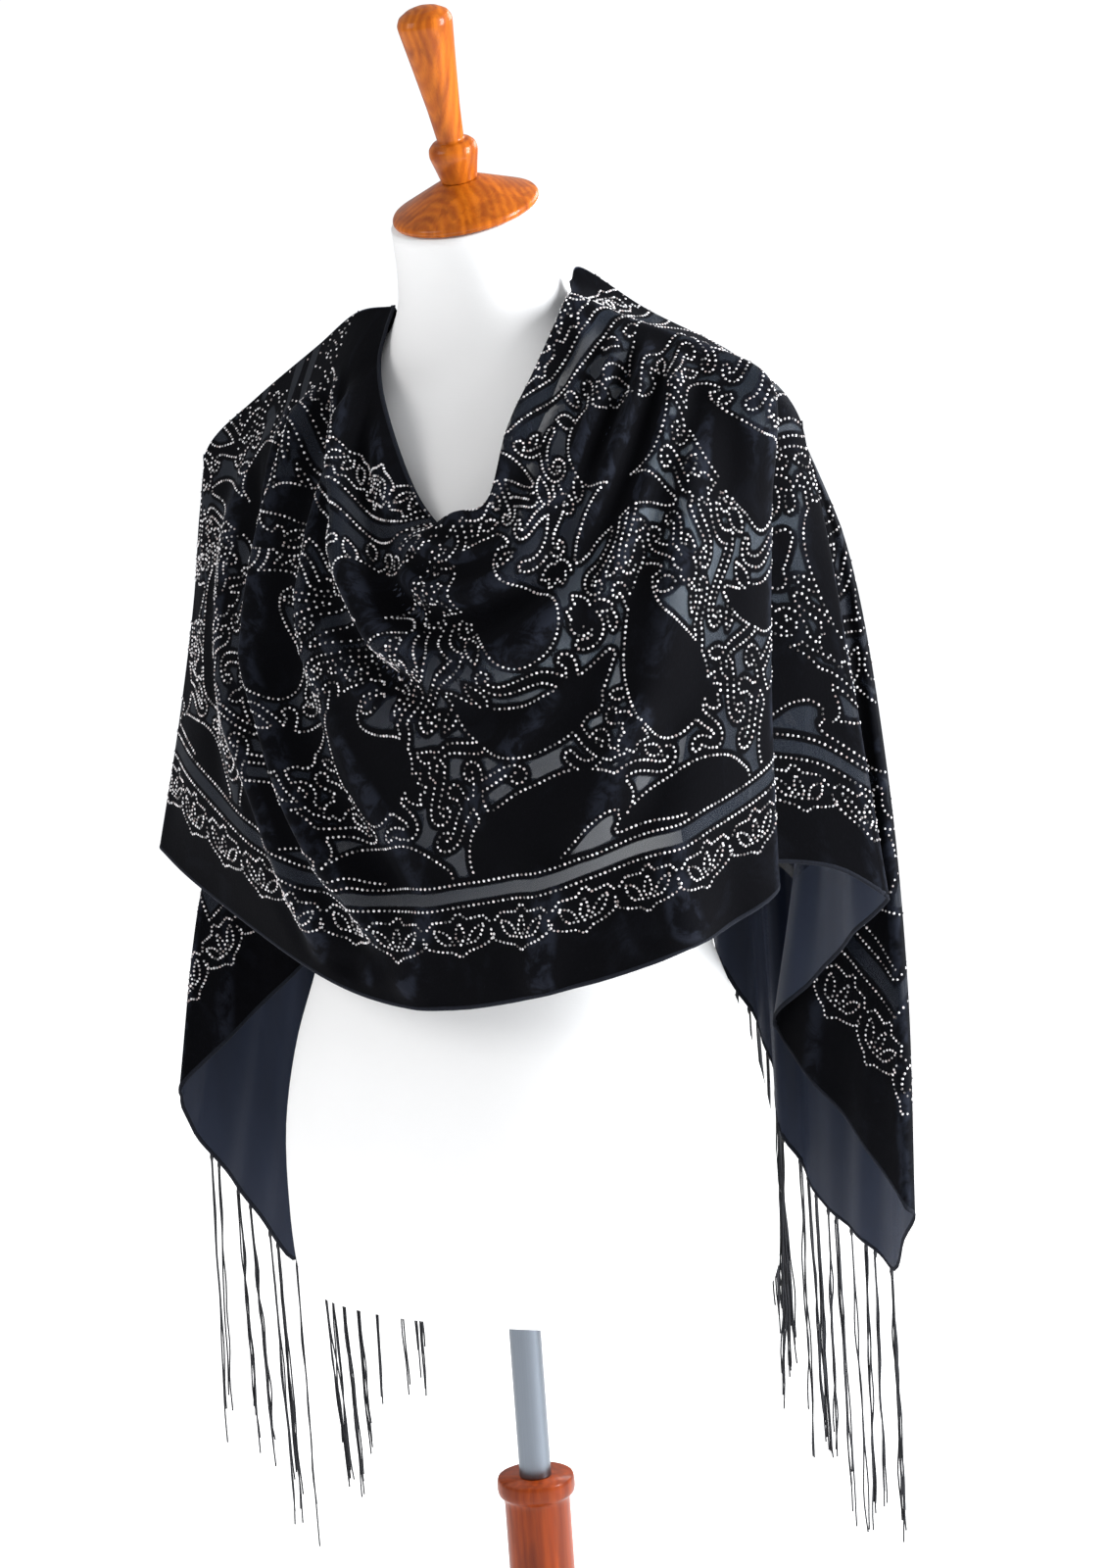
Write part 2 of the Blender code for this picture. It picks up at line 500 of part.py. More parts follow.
def fringe(name, edge, look, root_drop, phase):
    """A narrow root strip just under the short edge, with strands drawn out of its lower side."""
    total = np.concatenate([[0], np.cumsum(np.linalg.norm(np.diff(edge, axis=0), axis=1))])
    marks = np.linspace(0.002, total[-1] - 0.002, 2 * STRANDS)
    line = np.stack([np.interp(marks, total, edge[:, axis]) for axis in range(3)], axis=1)
    along = np.gradient(line, axis=0)
    along /= np.linalg.norm(along, axis=1, keepdims=True)
    across = np.cross(along, (0, 0, 1))
    across /= np.linalg.norm(across, axis=1, keepdims=True)
    down = np.array([0, 0, -1.0])
    depth = across * STRAND_DEPTH / 2
    top = line + down * root_drop
    low = top + down * ROOT_HEIGHT
    points = np.concatenate([top - depth, top + depth, low - depth, low + depth])
    n = len(line)
    faces = []
    for i in range(n - 1):
        faces.append((i, i + 1, n + i + 1, n + i))
        faces.append((i, 2 * n + i, 2 * n + i + 1, i + 1))
        faces.append((n + i, n + i + 1, 3 * n + i + 1, 3 * n + i))
        if i % 2:
            faces.append((2 * n + i, 3 * n + i, 3 * n + i + 1, 2 * n + i + 1))
    faces.append((0, n, 3 * n, 2 * n))
    faces.append((n - 1, 3 * n - 1, 4 * n - 1, 2 * n - 1))
    points = [tuple(point) for point in points]
    for strand in range(STRANDS):
        i = 2 * strand
        corners = [2 * n + i, 3 * n + i, 3 * n + i + 1, 2 * n + i + 1]
        length = FRINGE_LENGTH * (0.92 + 0.08 * math.sin(strand * 2.4 + phase))
        sway = STRAND_SWAY * math.sin(strand * 1.3 + phase)
        middle = np.mean([points[c] for c in corners], axis=0)
        for fall, scale, drift in STRAND_SHARES:
            new = []
            for c in corners:
                offset = np.array(points[c]) - middle
                offset[2] = 0
                spot = middle + offset * scale + along[i] * sway * drift + down * length * fall
                new.append(len(points))
                points.append(tuple(spot))
            for a, b, c, d in zip(corners, corners[1:] + corners[:1], new[1:] + new[:1], new):
                faces.append((a, b, c, d))
            corners = new
            middle = np.mean([points[c] for c in corners], axis=0) - down * length * fall
        faces.append(tuple(corners))
    return add_mesh(name, points, [tuple(reversed(face)) for face in faces], look)


def main():
    clear_scene()
    cloth_look = material("velvet", (0.012, 0.013, 0.018), 0.85)
    fringe_look = material("silk_fringe", (0.010, 0.011, 0.015), 0.5)
    form_look = material("form_cover", (0.86, 0.86, 0.87), 0.9)
    cap_look = material("cap_wood", (0.62, 0.24, 0.05), 0.2)
    column_look = material("column_wood", (0.30, 0.08, 0.02), 0.25)
    pole_look = material("steel_pole", (0.55, 0.56, 0.58), 0.3, 1.0)

    points, faces = torso(FORM_LEVELS, FORM_COLUMNS)
    add_mesh("form_torso", points, faces, form_look)
    tree = BVHTree.FromPolygons([tuple(p) for p in points], faces)

    neck = (0, RINGS[-1][4], RINGS[-1][0])
    cap_rows = ((0.046, SEAM), (0.0495, 0.0018), (0.0505, 0.0042), (0.0492, 0.0066), (0.036, 0.0130),
                (0.022, 0.0198), (0.0135, 0.0238))
    turned("neck_cap", cap_rows, cap_look, neck, NECK_LEAN, 28)
    finial_rows = ((0.0122, 0.0241), (0.0142, 0.0330), (0.0166, 0.0425), (0.0160, 0.0475), (0.0128, 0.0508),
                   (0.0090, 0.0518), (0.0110, 0.0740), (0.0148, 0.1040), (0.0183, 0.1300), (0.0186, 0.1335),
                   (0.0165, 0.1378), (0.0110, 0.1412), (0.0050, 0.1430))
    turned("finial", finial_rows, cap_look, neck, NECK_LEAN, 20)
    turned("pole", ((POLE_RADIUS, COLUMN_TOP + SEAM), (POLE_RADIUS, FORM_BOTTOM - SEAM)), pole_look, sides=20)
    column_rows = ((0.0330, BASE_TOP + SEAM), (0.0330, 0.044), (0.0290, 0.050), (0.0262, 0.060),
                   (0.0236, 0.085), (0.0231, 0.300), (0.0231, 0.590), (0.0238, 0.5935),
                   (0.0268, 0.5960), (0.0275, 0.6000), (0.0272, 0.6060), (0.0264, COLUMN_TOP))
    turned("stand_column", column_rows, column_look, sides=24)
    base_rows = ((0.196, 0.0), (0.200, 0.003), (0.200, 0.014), (0.196, 0.018), (0.120, 0.023), (0.060, 0.029),
                 (0.042, BASE_TOP))
    turned("stand_base", base_rows, column_look, sides=40)

    places = stations((0, 1, 4), (1, 7, 25), (7, 8, 5), (8, 9, 4), (9, 11, 6))
    front = front_surface(places, CLOTH_SHARES, tree)
    shell("shawl_front", front, cloth_look)
    down = (CLOTH_SHARES[CLOTH_SHARES >= SHOULDER_SHARE] - SHOULDER_SHARE) / (1 - SHOULDER_SHARE)
    for name, rows, edge, root_drop, phase in (
        ("minus", END_MINUS, front[0], ROOT_DROP_MINUS, 0.4),
        ("plus", END_PLUS, front[-1], ROOT_DROP_PLUS, 1.9),
    ):
        end, corner = end_surface(rows, edge, down, tree)
        short_edge = end[corner:, -1]
        if name == "minus":
            end = end[::-1]
        shell("shawl_end_" + name, end, cloth_look)
        fringe("fringe_" + name, short_edge, fringe_look, root_drop, phase)


main()
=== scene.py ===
"""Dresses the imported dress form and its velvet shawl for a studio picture.

Metres, in the frame's own axes: +Z up, the form faces -Y, the origin is on the floor under the pole.
The cloth is one cut, drawn as three stretches that meet at the two outer folds."""

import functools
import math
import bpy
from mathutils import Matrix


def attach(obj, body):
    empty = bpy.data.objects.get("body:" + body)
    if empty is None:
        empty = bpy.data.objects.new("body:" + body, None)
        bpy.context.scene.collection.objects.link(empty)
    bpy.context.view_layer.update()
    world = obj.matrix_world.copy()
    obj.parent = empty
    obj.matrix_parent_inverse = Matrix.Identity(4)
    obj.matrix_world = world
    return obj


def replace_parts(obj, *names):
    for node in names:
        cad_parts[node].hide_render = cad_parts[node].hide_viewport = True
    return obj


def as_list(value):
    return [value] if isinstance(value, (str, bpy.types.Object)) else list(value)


bl_info = {
    "name": "Velvet shawl on a dress form",
    "version": (1, 0, 0),
    "blender": (4, 5, 0),
    "location": "3D View > Sidebar > Shawl",
    "description": "Makes the burnt-out velvet, its silver dots and fringe, the form and its stand",
    "category": "Object",
}

import bpy
import numpy as np
from bpy.props import FloatProperty, FloatVectorProperty, IntProperty, PointerProperty
from mathutils import Matrix, Vector
from mathutils.bvhtree import BVHTree
from mathutils.interpolate import poly_3d_calc

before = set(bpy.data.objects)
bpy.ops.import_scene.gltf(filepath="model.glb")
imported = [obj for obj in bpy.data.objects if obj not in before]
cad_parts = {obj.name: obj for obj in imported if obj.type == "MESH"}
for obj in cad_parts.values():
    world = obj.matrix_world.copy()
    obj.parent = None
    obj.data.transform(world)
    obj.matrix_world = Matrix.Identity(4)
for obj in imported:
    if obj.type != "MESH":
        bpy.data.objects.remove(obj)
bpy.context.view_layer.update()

# Rings of the form: height, half width, front and back depth, middle in Y, forward lean in degrees
RINGS = (
    (0.7420, 0.158, 0.096, 0.098, 0.025, 0),
    (0.7450, 0.169, 0.107, 0.109, 0.025, 0),
    (0.7570, 0.1755, 0.113, 0.114, 0.025, 0),
    (0.8000, 0.178, 0.115, 0.116, 0.025, 0),
    (0.8600, 0.176, 0.112, 0.118, 0.025, 0),
    (0.9200, 0.163, 0.105, 0.113, 0.025, 0),
    (0.9750, 0.143, 0.096, 0.103, 0.026, 0),
    (1.0300, 0.126, 0.089, 0.093, 0.028, 0),
    (1.0800, 0.122, 0.089, 0.088, 0.030, 0),
    (1.1300, 0.131, 0.100, 0.091, 0.031, 0),
    (1.1900, 0.146, 0.119, 0.097, 0.032, 0),
    (1.2400, 0.154, 0.117, 0.101, 0.034, 0),
    (1.2800, 0.161, 0.100, 0.101, 0.038, 0),
    (1.3150, 0.170, 0.082, 0.094, 0.044, 0),
    (1.3400, 0.170, 0.068, 0.081, 0.050, 0),
    (1.3580, 0.155, 0.058, 0.070, 0.054, 0),
    (1.3750, 0.127, 0.052, 0.060, 0.057, 2),
    (1.3920, 0.096, 0.050, 0.054, 0.059, 5),
    (1.4100, 0.073, 0.049, 0.051, 0.058, 10),
    (1.4300, 0.061, 0.0485, 0.050, 0.055, 14),
    (1.4550, 0.055, 0.0485, 0.049, 0.0475, 17),
    (1.4870, 0.0512, 0.0485, 0.0485, 0.0365, 19),
)
FORM_FULLNESS = 0.045  # how much fuller than an ellipse each level of the form is
NECK_LEAN = math.radians(19)

CAMERA_PLACE = Vector((1.0652, -2.1841, 1.53))
CAMERA_AIM = Vector((0.0422, 0.0206, 1.10))
CAMERA_ROLL = math.radians(4.0)
CAMERA_LENS = 83.2
HALF_LENGTH = 0.825  # of the cut, along

# Turned pieces, as rows of radius and height
CAP_ROWS = ((0.046, 0.0003), (0.0495, 0.0018), (0.0505, 0.0042), (0.0492, 0.0066), (0.036, 0.0130),
            (0.022, 0.0198), (0.0135, 0.0238))
FINIAL_ROWS = ((0.0122, 0.0241), (0.0142, 0.0330), (0.0166, 0.0425), (0.0160, 0.0475), (0.0128, 0.0508),
               (0.0090, 0.0518), (0.0110, 0.0740), (0.0148, 0.1040), (0.0183, 0.1300), (0.0186, 0.1335),
               (0.0165, 0.1378), (0.0110, 0.1412), (0.0050, 0.1430))
POLE_ROWS = ((0.0112, 0.6083), (0.0112, 0.7417))
COLUMN_ROWS = ((0.0330, 0.0343), (0.0330, 0.044), (0.0290, 0.050), (0.0262, 0.060), (0.0236, 0.085),
               (0.0231, 0.300), (0.0231, 0.590), (0.0238, 0.5935), (0.0268, 0.5960), (0.0275, 0.6000),
               (0.0272, 0.6060), (0.0264, 0.608))
BASE_ROWS = ((0.196, 0.0), (0.200, 0.003), (0.200, 0.014), (0.196, 0.018), (0.120, 0.023), (0.060, 0.029),
             (0.042, 0.034))

# Soft folds down the back of each end: how many, height, phase, how much each leans
BACK_WAVES = ((3.6, 0.0085, 0.3, 0.8), (6.4, 0.0045, 1.9, -1.4), (11.0, 0.0018, 0.8, 2.0))
# Shallow waves in the pleats beside the arm
PANEL_WAVES = ((1.3, 0.0022, 0.5, 1.6), (2.7, 0.0012, 2.1, -2.4))

# Ribs of the front stretch, from the outer fold at -X to the outer fold at +X, in millimetres. Each row
# has nine points x, y, z from the neck edge to the lower hem, at RIB_SHARES of the cloth's width. The
# neck edge is turned in behind the lip of the cowl from chest_3 to pleat_outer.
FRONT_RIBS = (
    ("fold_minus", ((-64, 45, 1427), (-97, 55, 1424), (-133, 60, 1402), (-185, 58, 1367),
        (-222, 50, 1335), (-226, 36, 1295), (-229, 24, 1238), (-242, 10, 1150), (-263, 0, 1057))),
    ("chest_1", ((-61, 10, 1394), (-78, 6, 1387), (-94, 3, 1374), (-132, -4, 1330), (-165, -14, 1269),
        (-184, -22, 1209), (-197, -28, 1148), (-210, -32, 1087), (-210, -34, 1035))),
    ("chest_2", ((-38, -30, 1358), (-49, -40, 1349), (-62, -50, 1328), (-83, -66, 1281),
        (-97, -80, 1224), (-106, -88, 1166), (-112, -90, 1106), (-110, -90, 1052), (-98, -86, 991))),
    ("chest_3", ((-3, -60, 1303), (-13, -82, 1285), (-18, -95, 1268), (-27, -107, 1227),
        (-34, -111, 1183), (-39, -111, 1131), (-42, -109, 1078), (-40, -106, 1024), (-30, -103, 974))),
    ("middle", ((30, -67, 1281), (33, -86, 1299), (33, -101, 1277), (32, -112, 1241), (32, -116, 1196),
        (32, -116, 1145), (28, -113, 1086), (25, -110, 1027), (22, -107, 974))),
    ("chest_4", ((59, -64, 1290), (57, -84, 1306), (74, -99, 1276), (93, -110, 1240), (101, -114, 1196),
        (103, -114, 1145), (101, -112, 1087), (98, -110, 1035), (94, -107, 988))),
    ("chest_5", ((63, -22, 1338), (58, -48, 1349), (90, -64, 1322), (126, -84, 1273), (150, -98, 1222),
        (158, -101, 1169), (162, -100, 1115), (164, -100, 1060), (164, -98, 1009))),
    ("chest_6", ((72, 6, 1377), (65, -14, 1384), (99, -22, 1367), (146, -40, 1334), (183, -58, 1275),
        (197, -67, 1213), (203, -69, 1154), (203, -68, 1086), (200, -66, 1025))),
    ("pleat_outer", ((74, 30, 1414), (77, 18, 1426), (116, 24, 1408), (169, 20, 1389), (220, 6, 1358),
        (223, -10, 1281), (222, -20, 1200), (223, -30, 1124), (224, -35, 1044))),
    ("pleat_inner", ((72, 37, 1422), (76, 32, 1430), (114, 38, 1411), (170, 38, 1388), (212, 30, 1356),
        (204, 12, 1282), (198, 2, 1203), (198, -8, 1133), (200, -12, 1055))),
    ("wing", ((70, 44, 1430), (74, 45, 1436), (113, 50, 1414), (172, 52, 1387), (217, 44, 1352),
        (226, 34, 1286), (228, 26, 1212), (232, 20, 1128), (243, 15, 1048))),
    ("fold_plus", ((67, 50, 1438), (72, 56, 1446), (112, 62, 1418), (174, 62, 1385), (219, 56, 1347),
        (236, 50, 1278), (248, 45, 1204), (261, 40, 1118), (275, 35, 1024))),
)
RIB_SHARES = (0.0, 0.07, 0.15, 0.27, 0.40, 0.53, 0.67, 0.83, 1.0)

# Ribs of each end, from the outer fold round the zigzag hem to the corner and then along the short
# edge to the neck edge. Each row: the share of the shoulder ridge where the rib starts, half of the
# length in metres over which the turn there is rounded, then four points x, y, z in millimetres from
# behind the ridge down.
END_PLUS = (
    ("turn_1", 0.40, 0.022, ((208, 96, 1250), (196, 104, 1140), (172, 120, 1020), (138, 143, 903))),
    ("turn_2", 0.37, 0.018, ((226, 114, 1240), (240, 124, 1100), (256, 100, 950), (267, 62, 795))),
    ("corner", 0.34, 0.012, ((214, 134, 1220), (224, 146, 1070), (234, 126, 905), (239, 90, 738))),
    ("edge_1", 0.30, 0.020, ((190, 146, 1220), (198, 162, 1070), (200, 148, 915), (199, 120, 756))),
    ("edge_2", 0.25, 0.020, ((168, 146, 1240), (173, 168, 1090), (170, 158, 925), (167, 140, 766))),
    ("edge_3", 0.20, 0.020, ((140, 145, 1255), (144, 164, 1105), (142, 164, 945), (142, 153, 782))),
    ("edge_4", 0.10, 0.030, ((105, 145, 1290), (106, 160, 1160), (104, 176, 1025), (102, 184, 892))),
    ("neck_edge", 0.00, 0.020, ((66, 128, 1350), (60, 150, 1250), (54, 160, 1150), (48, 172, 1030))),
)
END_MINUS = (
    ("turn_1", 0.40, 0.022, ((-216, 80, 1250), (-209, 90, 1150), (-200, 104, 1060), (-186, 130, 974))),
    ("turn_2", 0.37, 0.018, ((-236, 96, 1230), (-262, 98, 1100), (-286, 66, 980), (-293, 28, 862))),
    ("corner", 0.34, 0.012, ((-226, 118, 1210), (-250, 124, 1085), (-274, 92, 955), (-286, 41, 825))),
    ("edge_1", 0.30, 0.018, ((-212, 134, 1200), (-234, 142, 1060), (-256, 112, 910), (-267, 70, 772))),
    ("edge_2", 0.25, 0.012, ((-196, 142, 1190), (-215, 154, 1030), (-235, 132, 870), (-249, 98, 711))),
    ("edge_3", 0.20, 0.020, ((-172, 144, 1210), (-190, 160, 1060), (-210, 154, 905), (-226, 140, 757))),
    ("edge_4", 0.10, 0.030, ((-120, 144, 1270), (-140, 160, 1120), (-160, 168, 975), (-178, 172, 828))),
    ("neck_edge", 0.00, 0.020, ((-68, 128, 1330), (-66, 150, 1220), (-62, 162, 1110), (-58, 176, 985))),
)
END_SHARES = (0.0, 0.24, 0.49, 0.74, 1.0)
CORNER_SHARE = 0.34

# Folds of the front, seen from the front, in millimetres: half width, height, then x and z of points
# along the ridge. A height below 0 is a trough.
FRONT_FOLDS = (
    ("left_fall", 10.5, 15, (-122, -113, -122, -128, -126), (1392, 1335, 1275, 1215, 1160)),
    ("left_fall_trough", 12, -10, (-98, -92, -98, -104, -106), (1380, 1330, 1275, 1220, 1170)),
    ("left_narrow", 6, 8, (-142, -140, -147, -153, -152), (1380, 1330, 1275, 1220, 1170)),
    ("left_inner", 6.5, 9, (-96, -86, -82, -84, -86), (1392, 1342, 1290, 1240, 1190)),
    ("lapel_side", 9, 13, (-74, -64, -50, -24, 6), (1385, 1333, 1295, 1254, 1234)),
    ("lapel_trough", 8, -7, (-60, -46, -28, -4, 24), (1360, 1318, 1282, 1250, 1236)),
    ("long_fall", 10, 14, (-141, -109, -83, -46, -12), (1225, 1156, 1098, 1040, 1012)),
    ("long_fall_trough", 13, -10, (-110, -82, -58, -24, 6), (1230, 1168, 1112, 1060, 1030)),
    ("long_outer", 8, 8, (-168, -140, -116, -92, -72), (1190, 1130, 1076, 1030, 998)),
    ("short_fall", 10, 13, (-66, -44, -20, 4, 26), (1298, 1262, 1235, 1220, 1216)),
    ("short_under", 9, -8, (-80, -56, -28, 0, 26), (1270, 1236, 1208, 1194, 1190)),
    ("outer_fall", 12, 10, (-165, -178, -176, -160, -138), (1372, 1300, 1225, 1150, 1085)),
    ("swag_upper", 8, 9, (-10, 24, 58, 90, 112), (1266, 1252, 1252, 1272, 1310)),
    ("swag_middle", 7, 7, (-4, 28, 58, 86, 104), (1286, 1272, 1272, 1292, 1326)),
    ("swag_lower", 12, 10, (-34, 6, 50, 94, 124), (1238, 1208, 1200, 1218, 1262)),
    ("swag_trough", 9, -7, (-16, 24, 60, 96, 116), (1246, 1229, 1229, 1250, 1286)),
    ("gather_inner", 6.5, 11, (106, 114, 113, 108, 102), (1424, 1391, 1356, 1310, 1262)),
    ("gather_middle", 7, 11, (128, 138, 136, 126, 112), (1412, 1380, 1344, 1300, 1240)),
    ("gather_outer", 7.5, 10, (151, 160, 158, 147, 132), (1400, 1368, 1325, 1270, 1205)),
    ("gather_last", 6.5, 7, (90, 96, 96, 90, 80), (1428, 1392, 1352, 1310, 1270)),
    ("right_fall", 13, 9, (178, 182, 178, 166, 146), (1360, 1300, 1240, 1185, 1135)),
    ("right_soft", 14, 9, (168, 152, 140, 130, 121), (1190, 1155, 1125, 1095, 1060)),
    ("right_slant", 10, 6, (120, 94, 70, 50, 36), (1200, 1168, 1140, 1112, 1080)),
    ("hem_inner", 15, 8, (-24, -10, 0, 8, 14), (972, 1000, 1022, 1045, 1070)),
    ("hem_middle", 14, 7, (78, 84, 90, 97, 104), (978, 1005, 1030, 1055, 1085)),
    ("hem_outer", 13, 8, (184, 180, 177, 175, 174), (1010, 1035, 1060, 1085, 1120)),
    ("hem_left", 14, -7, (-70, -64, -58, -52, -50), (985, 1005, 1030, 1055, 1085)),
)
FOLD_TROUGH = 0.30  # how deep the hollow on each side of a ridge is, as a share of its height
TROUGH_PLACE = 1.9  # in half widths from the ridge
TROUGH_HALF = 0.8
FOLD_REACH = 4  # half widths from the ridge to where a fold lifts nothing
FOLD_MARKS = 61
FOLD_NARROWEST = 0.8  # of the half width, at the start of a fold
FOLD_WIDENS = 0.6
FOLD_RISES = 0.18  # share of a fold's length over which it comes up at its start
FOLD_DIES = 0.30
FOLDS_BACK = 0.035  # the y behind which the front has no folds
FOLDS_FADE = 0.03
PLEAT_RIB = 8  # the rib from which the pleat beside the arm has no folds
PLEAT_FADE = 0.4

# How far the neck edge of each rib is rolled under, in cloth
NECK_TUCK = (0.0, 0.0, 0.0, 0.050, 0.130, 0.110, 0.050, 0.030, 0.030, 0.020, 0.010, 0.0)

WIDTH = 0.500  # of the cut, across
SHOULDER_SHARE = 0.42  # how far along its outer fold the cloth leaves the shoulder
SHOULDER_STEPS = 72
FRONT_DROP_STEPS = 150
FRONT_STEPS = 290
END_STEPS = 250
EVEN_STOPS = 12  # places for each rib at which the cloth's length is measured
EVEN_SHARES = (0.1, 1, 8)  # the shares of its width where it is: from, to, how many
HIDDEN_LEVELS = 30  # of the form's surface that the cloth is laid on
HIDDEN_COLUMNS = 60
FORM_GAP = 0.0018  # from the form to the face of the cloth
FORM_REACH = 0.03  # how far the cloth looks for the form
LAYER = 0.0012  # between the face of the cloth and its reverse
TURN_WIDTH = 0.006
TURN_SHARE = 0.16
TURN_OPENS = 0.2  # share of the way down over which a turn opens to its full width
FIRST_WIDTH = 0.45  # of the turn width, at the outer fold
FIRST_TURN = 0.015  # length over which an end turns back at its outer fold
FIRST_REACH = 0.004
TURN_SAMPLES = 15
FINE_MARKS = 2000
CROWD = 2.5  # added at a turn to how close the rows of points lie, which is 1 elsewhere
CROWD_REACH = 0.008
WAVES_OPEN = (0.08, 0.5)  # where down an end the soft folds start, and over how much they open
CORNER_FLAT = 8  # the soft folds of the back come up over one part in this many, from the corner on
PANEL_LENGTH = 0.17
PANEL_RISES = 0.05
PANEL_DIES = 0.04
FOLD_ROUND_ROWS = 5  # rows on each side of an outer fold that are rounded with it
FOLD_ROUNDS = 14
FOLD_START = 0.03  # share of the width over which the rounding sets in
BORDER_REACH = 0.090  # cloth near each long edge that keeps its true width
LEAST_CLOTH = 0.01
CUT_ROUNDS = 60
FOLD_BESIDE = 0.05  # how far from the outer fold the cut of an end goes over into its own
MIDDLE_RIB = 4


def smooth(stations, values, at):
    """A smooth curve through the rows of values at the stations, read at each place in at."""
    stations = np.asarray(stations, float)
    values = np.asarray(values, float)
    at = np.clip(np.asarray(at, float), stations[0], stations[-1])
    slopes = np.gradient(values, stations, axis=0)
    cell = np.clip(np.searchsorted(stations, at, side="right") - 1, 0, len(stations) - 2)
    width = stations[cell + 1] - stations[cell]
    part = (at - stations[cell]) / width
    spread = (...,) + (None,) * (values.ndim - 1)
    part = part[spread]
    width = width[spread]
    square = part * part
    cube = square * part
    return (
        (2 * cube - 3 * square + 1) * values[cell]
        + (cube - 2 * square + part) * width * slopes[cell]
        + (3 * square - 2 * cube) * values[cell + 1]
        + (cube - square) * width * slopes[cell + 1]
    )


def lengths(line):
    """How far along a line, or along each column of a grid, every point is."""
    steps = np.linalg.norm(np.diff(line, axis=0), axis=-1)
    return np.concatenate([np.zeros((1,) + steps.shape[1:]), np.cumsum(steps, axis=0)])


def resampled(line, marks):
    """The points of a line at these distances along it."""
    total = lengths(line)
    return np.stack([np.interp(marks, total, line[:, axis]) for axis in range(line.shape[1])], axis=1)


def evened(values, rounds, axis=0):
    """Values evened out along one axis, with the first and the last kept."""
    values = np.moveaxis(values.copy(), axis, 0)
    for _ in range(rounds):
        values[1:-1] = values[1:-1] / 2 + (values[:-2] + values[2:]) / 4
    return np.moveaxis(values, 0, axis)


def unit(vectors):
    """Vectors brought to a length of 1."""
    return vectors / np.maximum(np.linalg.norm(vectors, axis=-1, keepdims=True), 1e-9)


def turns(count):
    """Angles equally spread round a circle."""
    return np.arange(count) * 2 * math.pi / count


def normals_of(grid):
    """Unit normals of a grid of points, to the side that the face of the cloth is on."""
    return unit(np.cross(np.gradient(grid, axis=1), np.gradient(grid, axis=0)))


def form_points(levels, columns):
    """The form's surface as levels of columns, from the underside's edge to the top of the neck."""
    fixed = [0, 0.5, 1, 1.5, 2]
    free = np.linspace(2, len(RINGS) - 1, levels - 4)[1:]
    across = np.cos(turns(columns))
    along = np.sin(turns(columns))
    full = 1 + FORM_FULLNESS * (2 * across * along) ** 2
    rings = []
    for height, half, front, back, middle, lean in smooth(
        np.arange(len(RINGS)), RINGS, np.concatenate([fixed, free])
    ):
        y = np.where(along < 0, front, back) * along * full
        tilt = math.radians(lean)
        rings.append(
            np.stack([half * across * full, middle + y * math.cos(tilt), height + y * math.sin(tilt)], 1)
        )
    return np.array(rings)


def wrapped_faces(levels, columns):
    """Faces of a tube of rings, and the fans that close it from two last points."""
    faces = []
    last = (levels - 1) * columns
    for level in range(0, last, columns):
        for column in range(columns):
            a = level + column
            b = level + (column + 1) % columns
            faces.append((a, b, b + columns, a + columns))
    low = levels * columns
    for column in range(columns):
        after = (column + 1) % columns
        faces += [(low, after, column), (low + 1, last + column, last + after)]
    return faces


def grid_faces(rows, columns):
    """Quads of a grid, as an array."""
    i, j = np.meshgrid(np.arange(rows - 1), np.arange(columns - 1), indexing="ij")
    a = (i * columns + j).ravel()
    return np.stack([a, a + 1, a + columns + 1, a + columns], axis=1)


def above_form(tree, points, reach):
    """The number of each point near the form, the form's normal there and the height above it."""
    for index, point in enumerate(points):
        near, normal, _, distance = tree.find_nearest(Vector(point), reach)
        if near is not None:
            outside = (Vector(point) - near).dot(normal) >= 0
            yield index, np.array(normal), distance if outside else -distance


def cleared(grid, tree, gap):
    """A grid with what is nearer the form than the gap moved straight out to it."""
    moved = grid.reshape(-1, 3).copy()
    for index, normal, height in above_form(tree, grid.reshape(-1, 3), FORM_REACH):
        if height < 3 * gap:
            soft = 0.5 * (math.sqrt((height - gap) ** 2 + gap**2) + height + gap)
            fade = min(1.0, (3 * gap - height) / gap)
            moved[index] += normal * (soft - height) * fade
    return moved.reshape(grid.shape)


def fold_height(x, z, half_width, height, ridge_x, ridge_z):
    """How far one fold lifts the cloth at x, z: a ridge with a shallow hollow on each side."""
    along = np.linspace(0, 1, FOLD_MARKS)
    near = np.ones(x.shape, bool)
    line = []
    for place, ridge in ((x, ridge_x), (z, ridge_z)):
        line.append(smooth(np.linspace(0, 1, len(ridge)), ridge, along))
        past = FOLD_REACH * half_width
        near &= (place > min(ridge) - past) & (place < max(ridge) + past)
    far = np.hypot(x[near][:, None] - line[0], z[near][:, None] - line[1])
    share = along[far.argmin(axis=1)]
    away = far.min(axis=1) / (half_width * (FOLD_NARROWEST + FOLD_WIDENS * share))
    fade = np.clip(share / FOLD_RISES, 0, 1) * np.clip((1 - share) / FOLD_DIES, 0, 1)
    fade = fade * fade * (3 - 2 * fade)
    hollow = np.exp(-(((away - TROUGH_PLACE) / TROUGH_HALF) ** 2))
    lift = np.zeros(x.shape)
    lift[near] = height * fade * (np.exp(-(away**2)) - FOLD_TROUGH * hollow)
    return lift


def rib_surface(places, shares):
    """The front stretch through its ribs, without folds."""
    ribs = np.array([points for _, points in FRONT_RIBS]) / 1000
    across = smooth(RIB_SHARES, ribs.transpose(1, 0, 2), shares)
    return smooth(np.arange(len(FRONT_RIBS)), across.transpose(1, 0, 2), places)


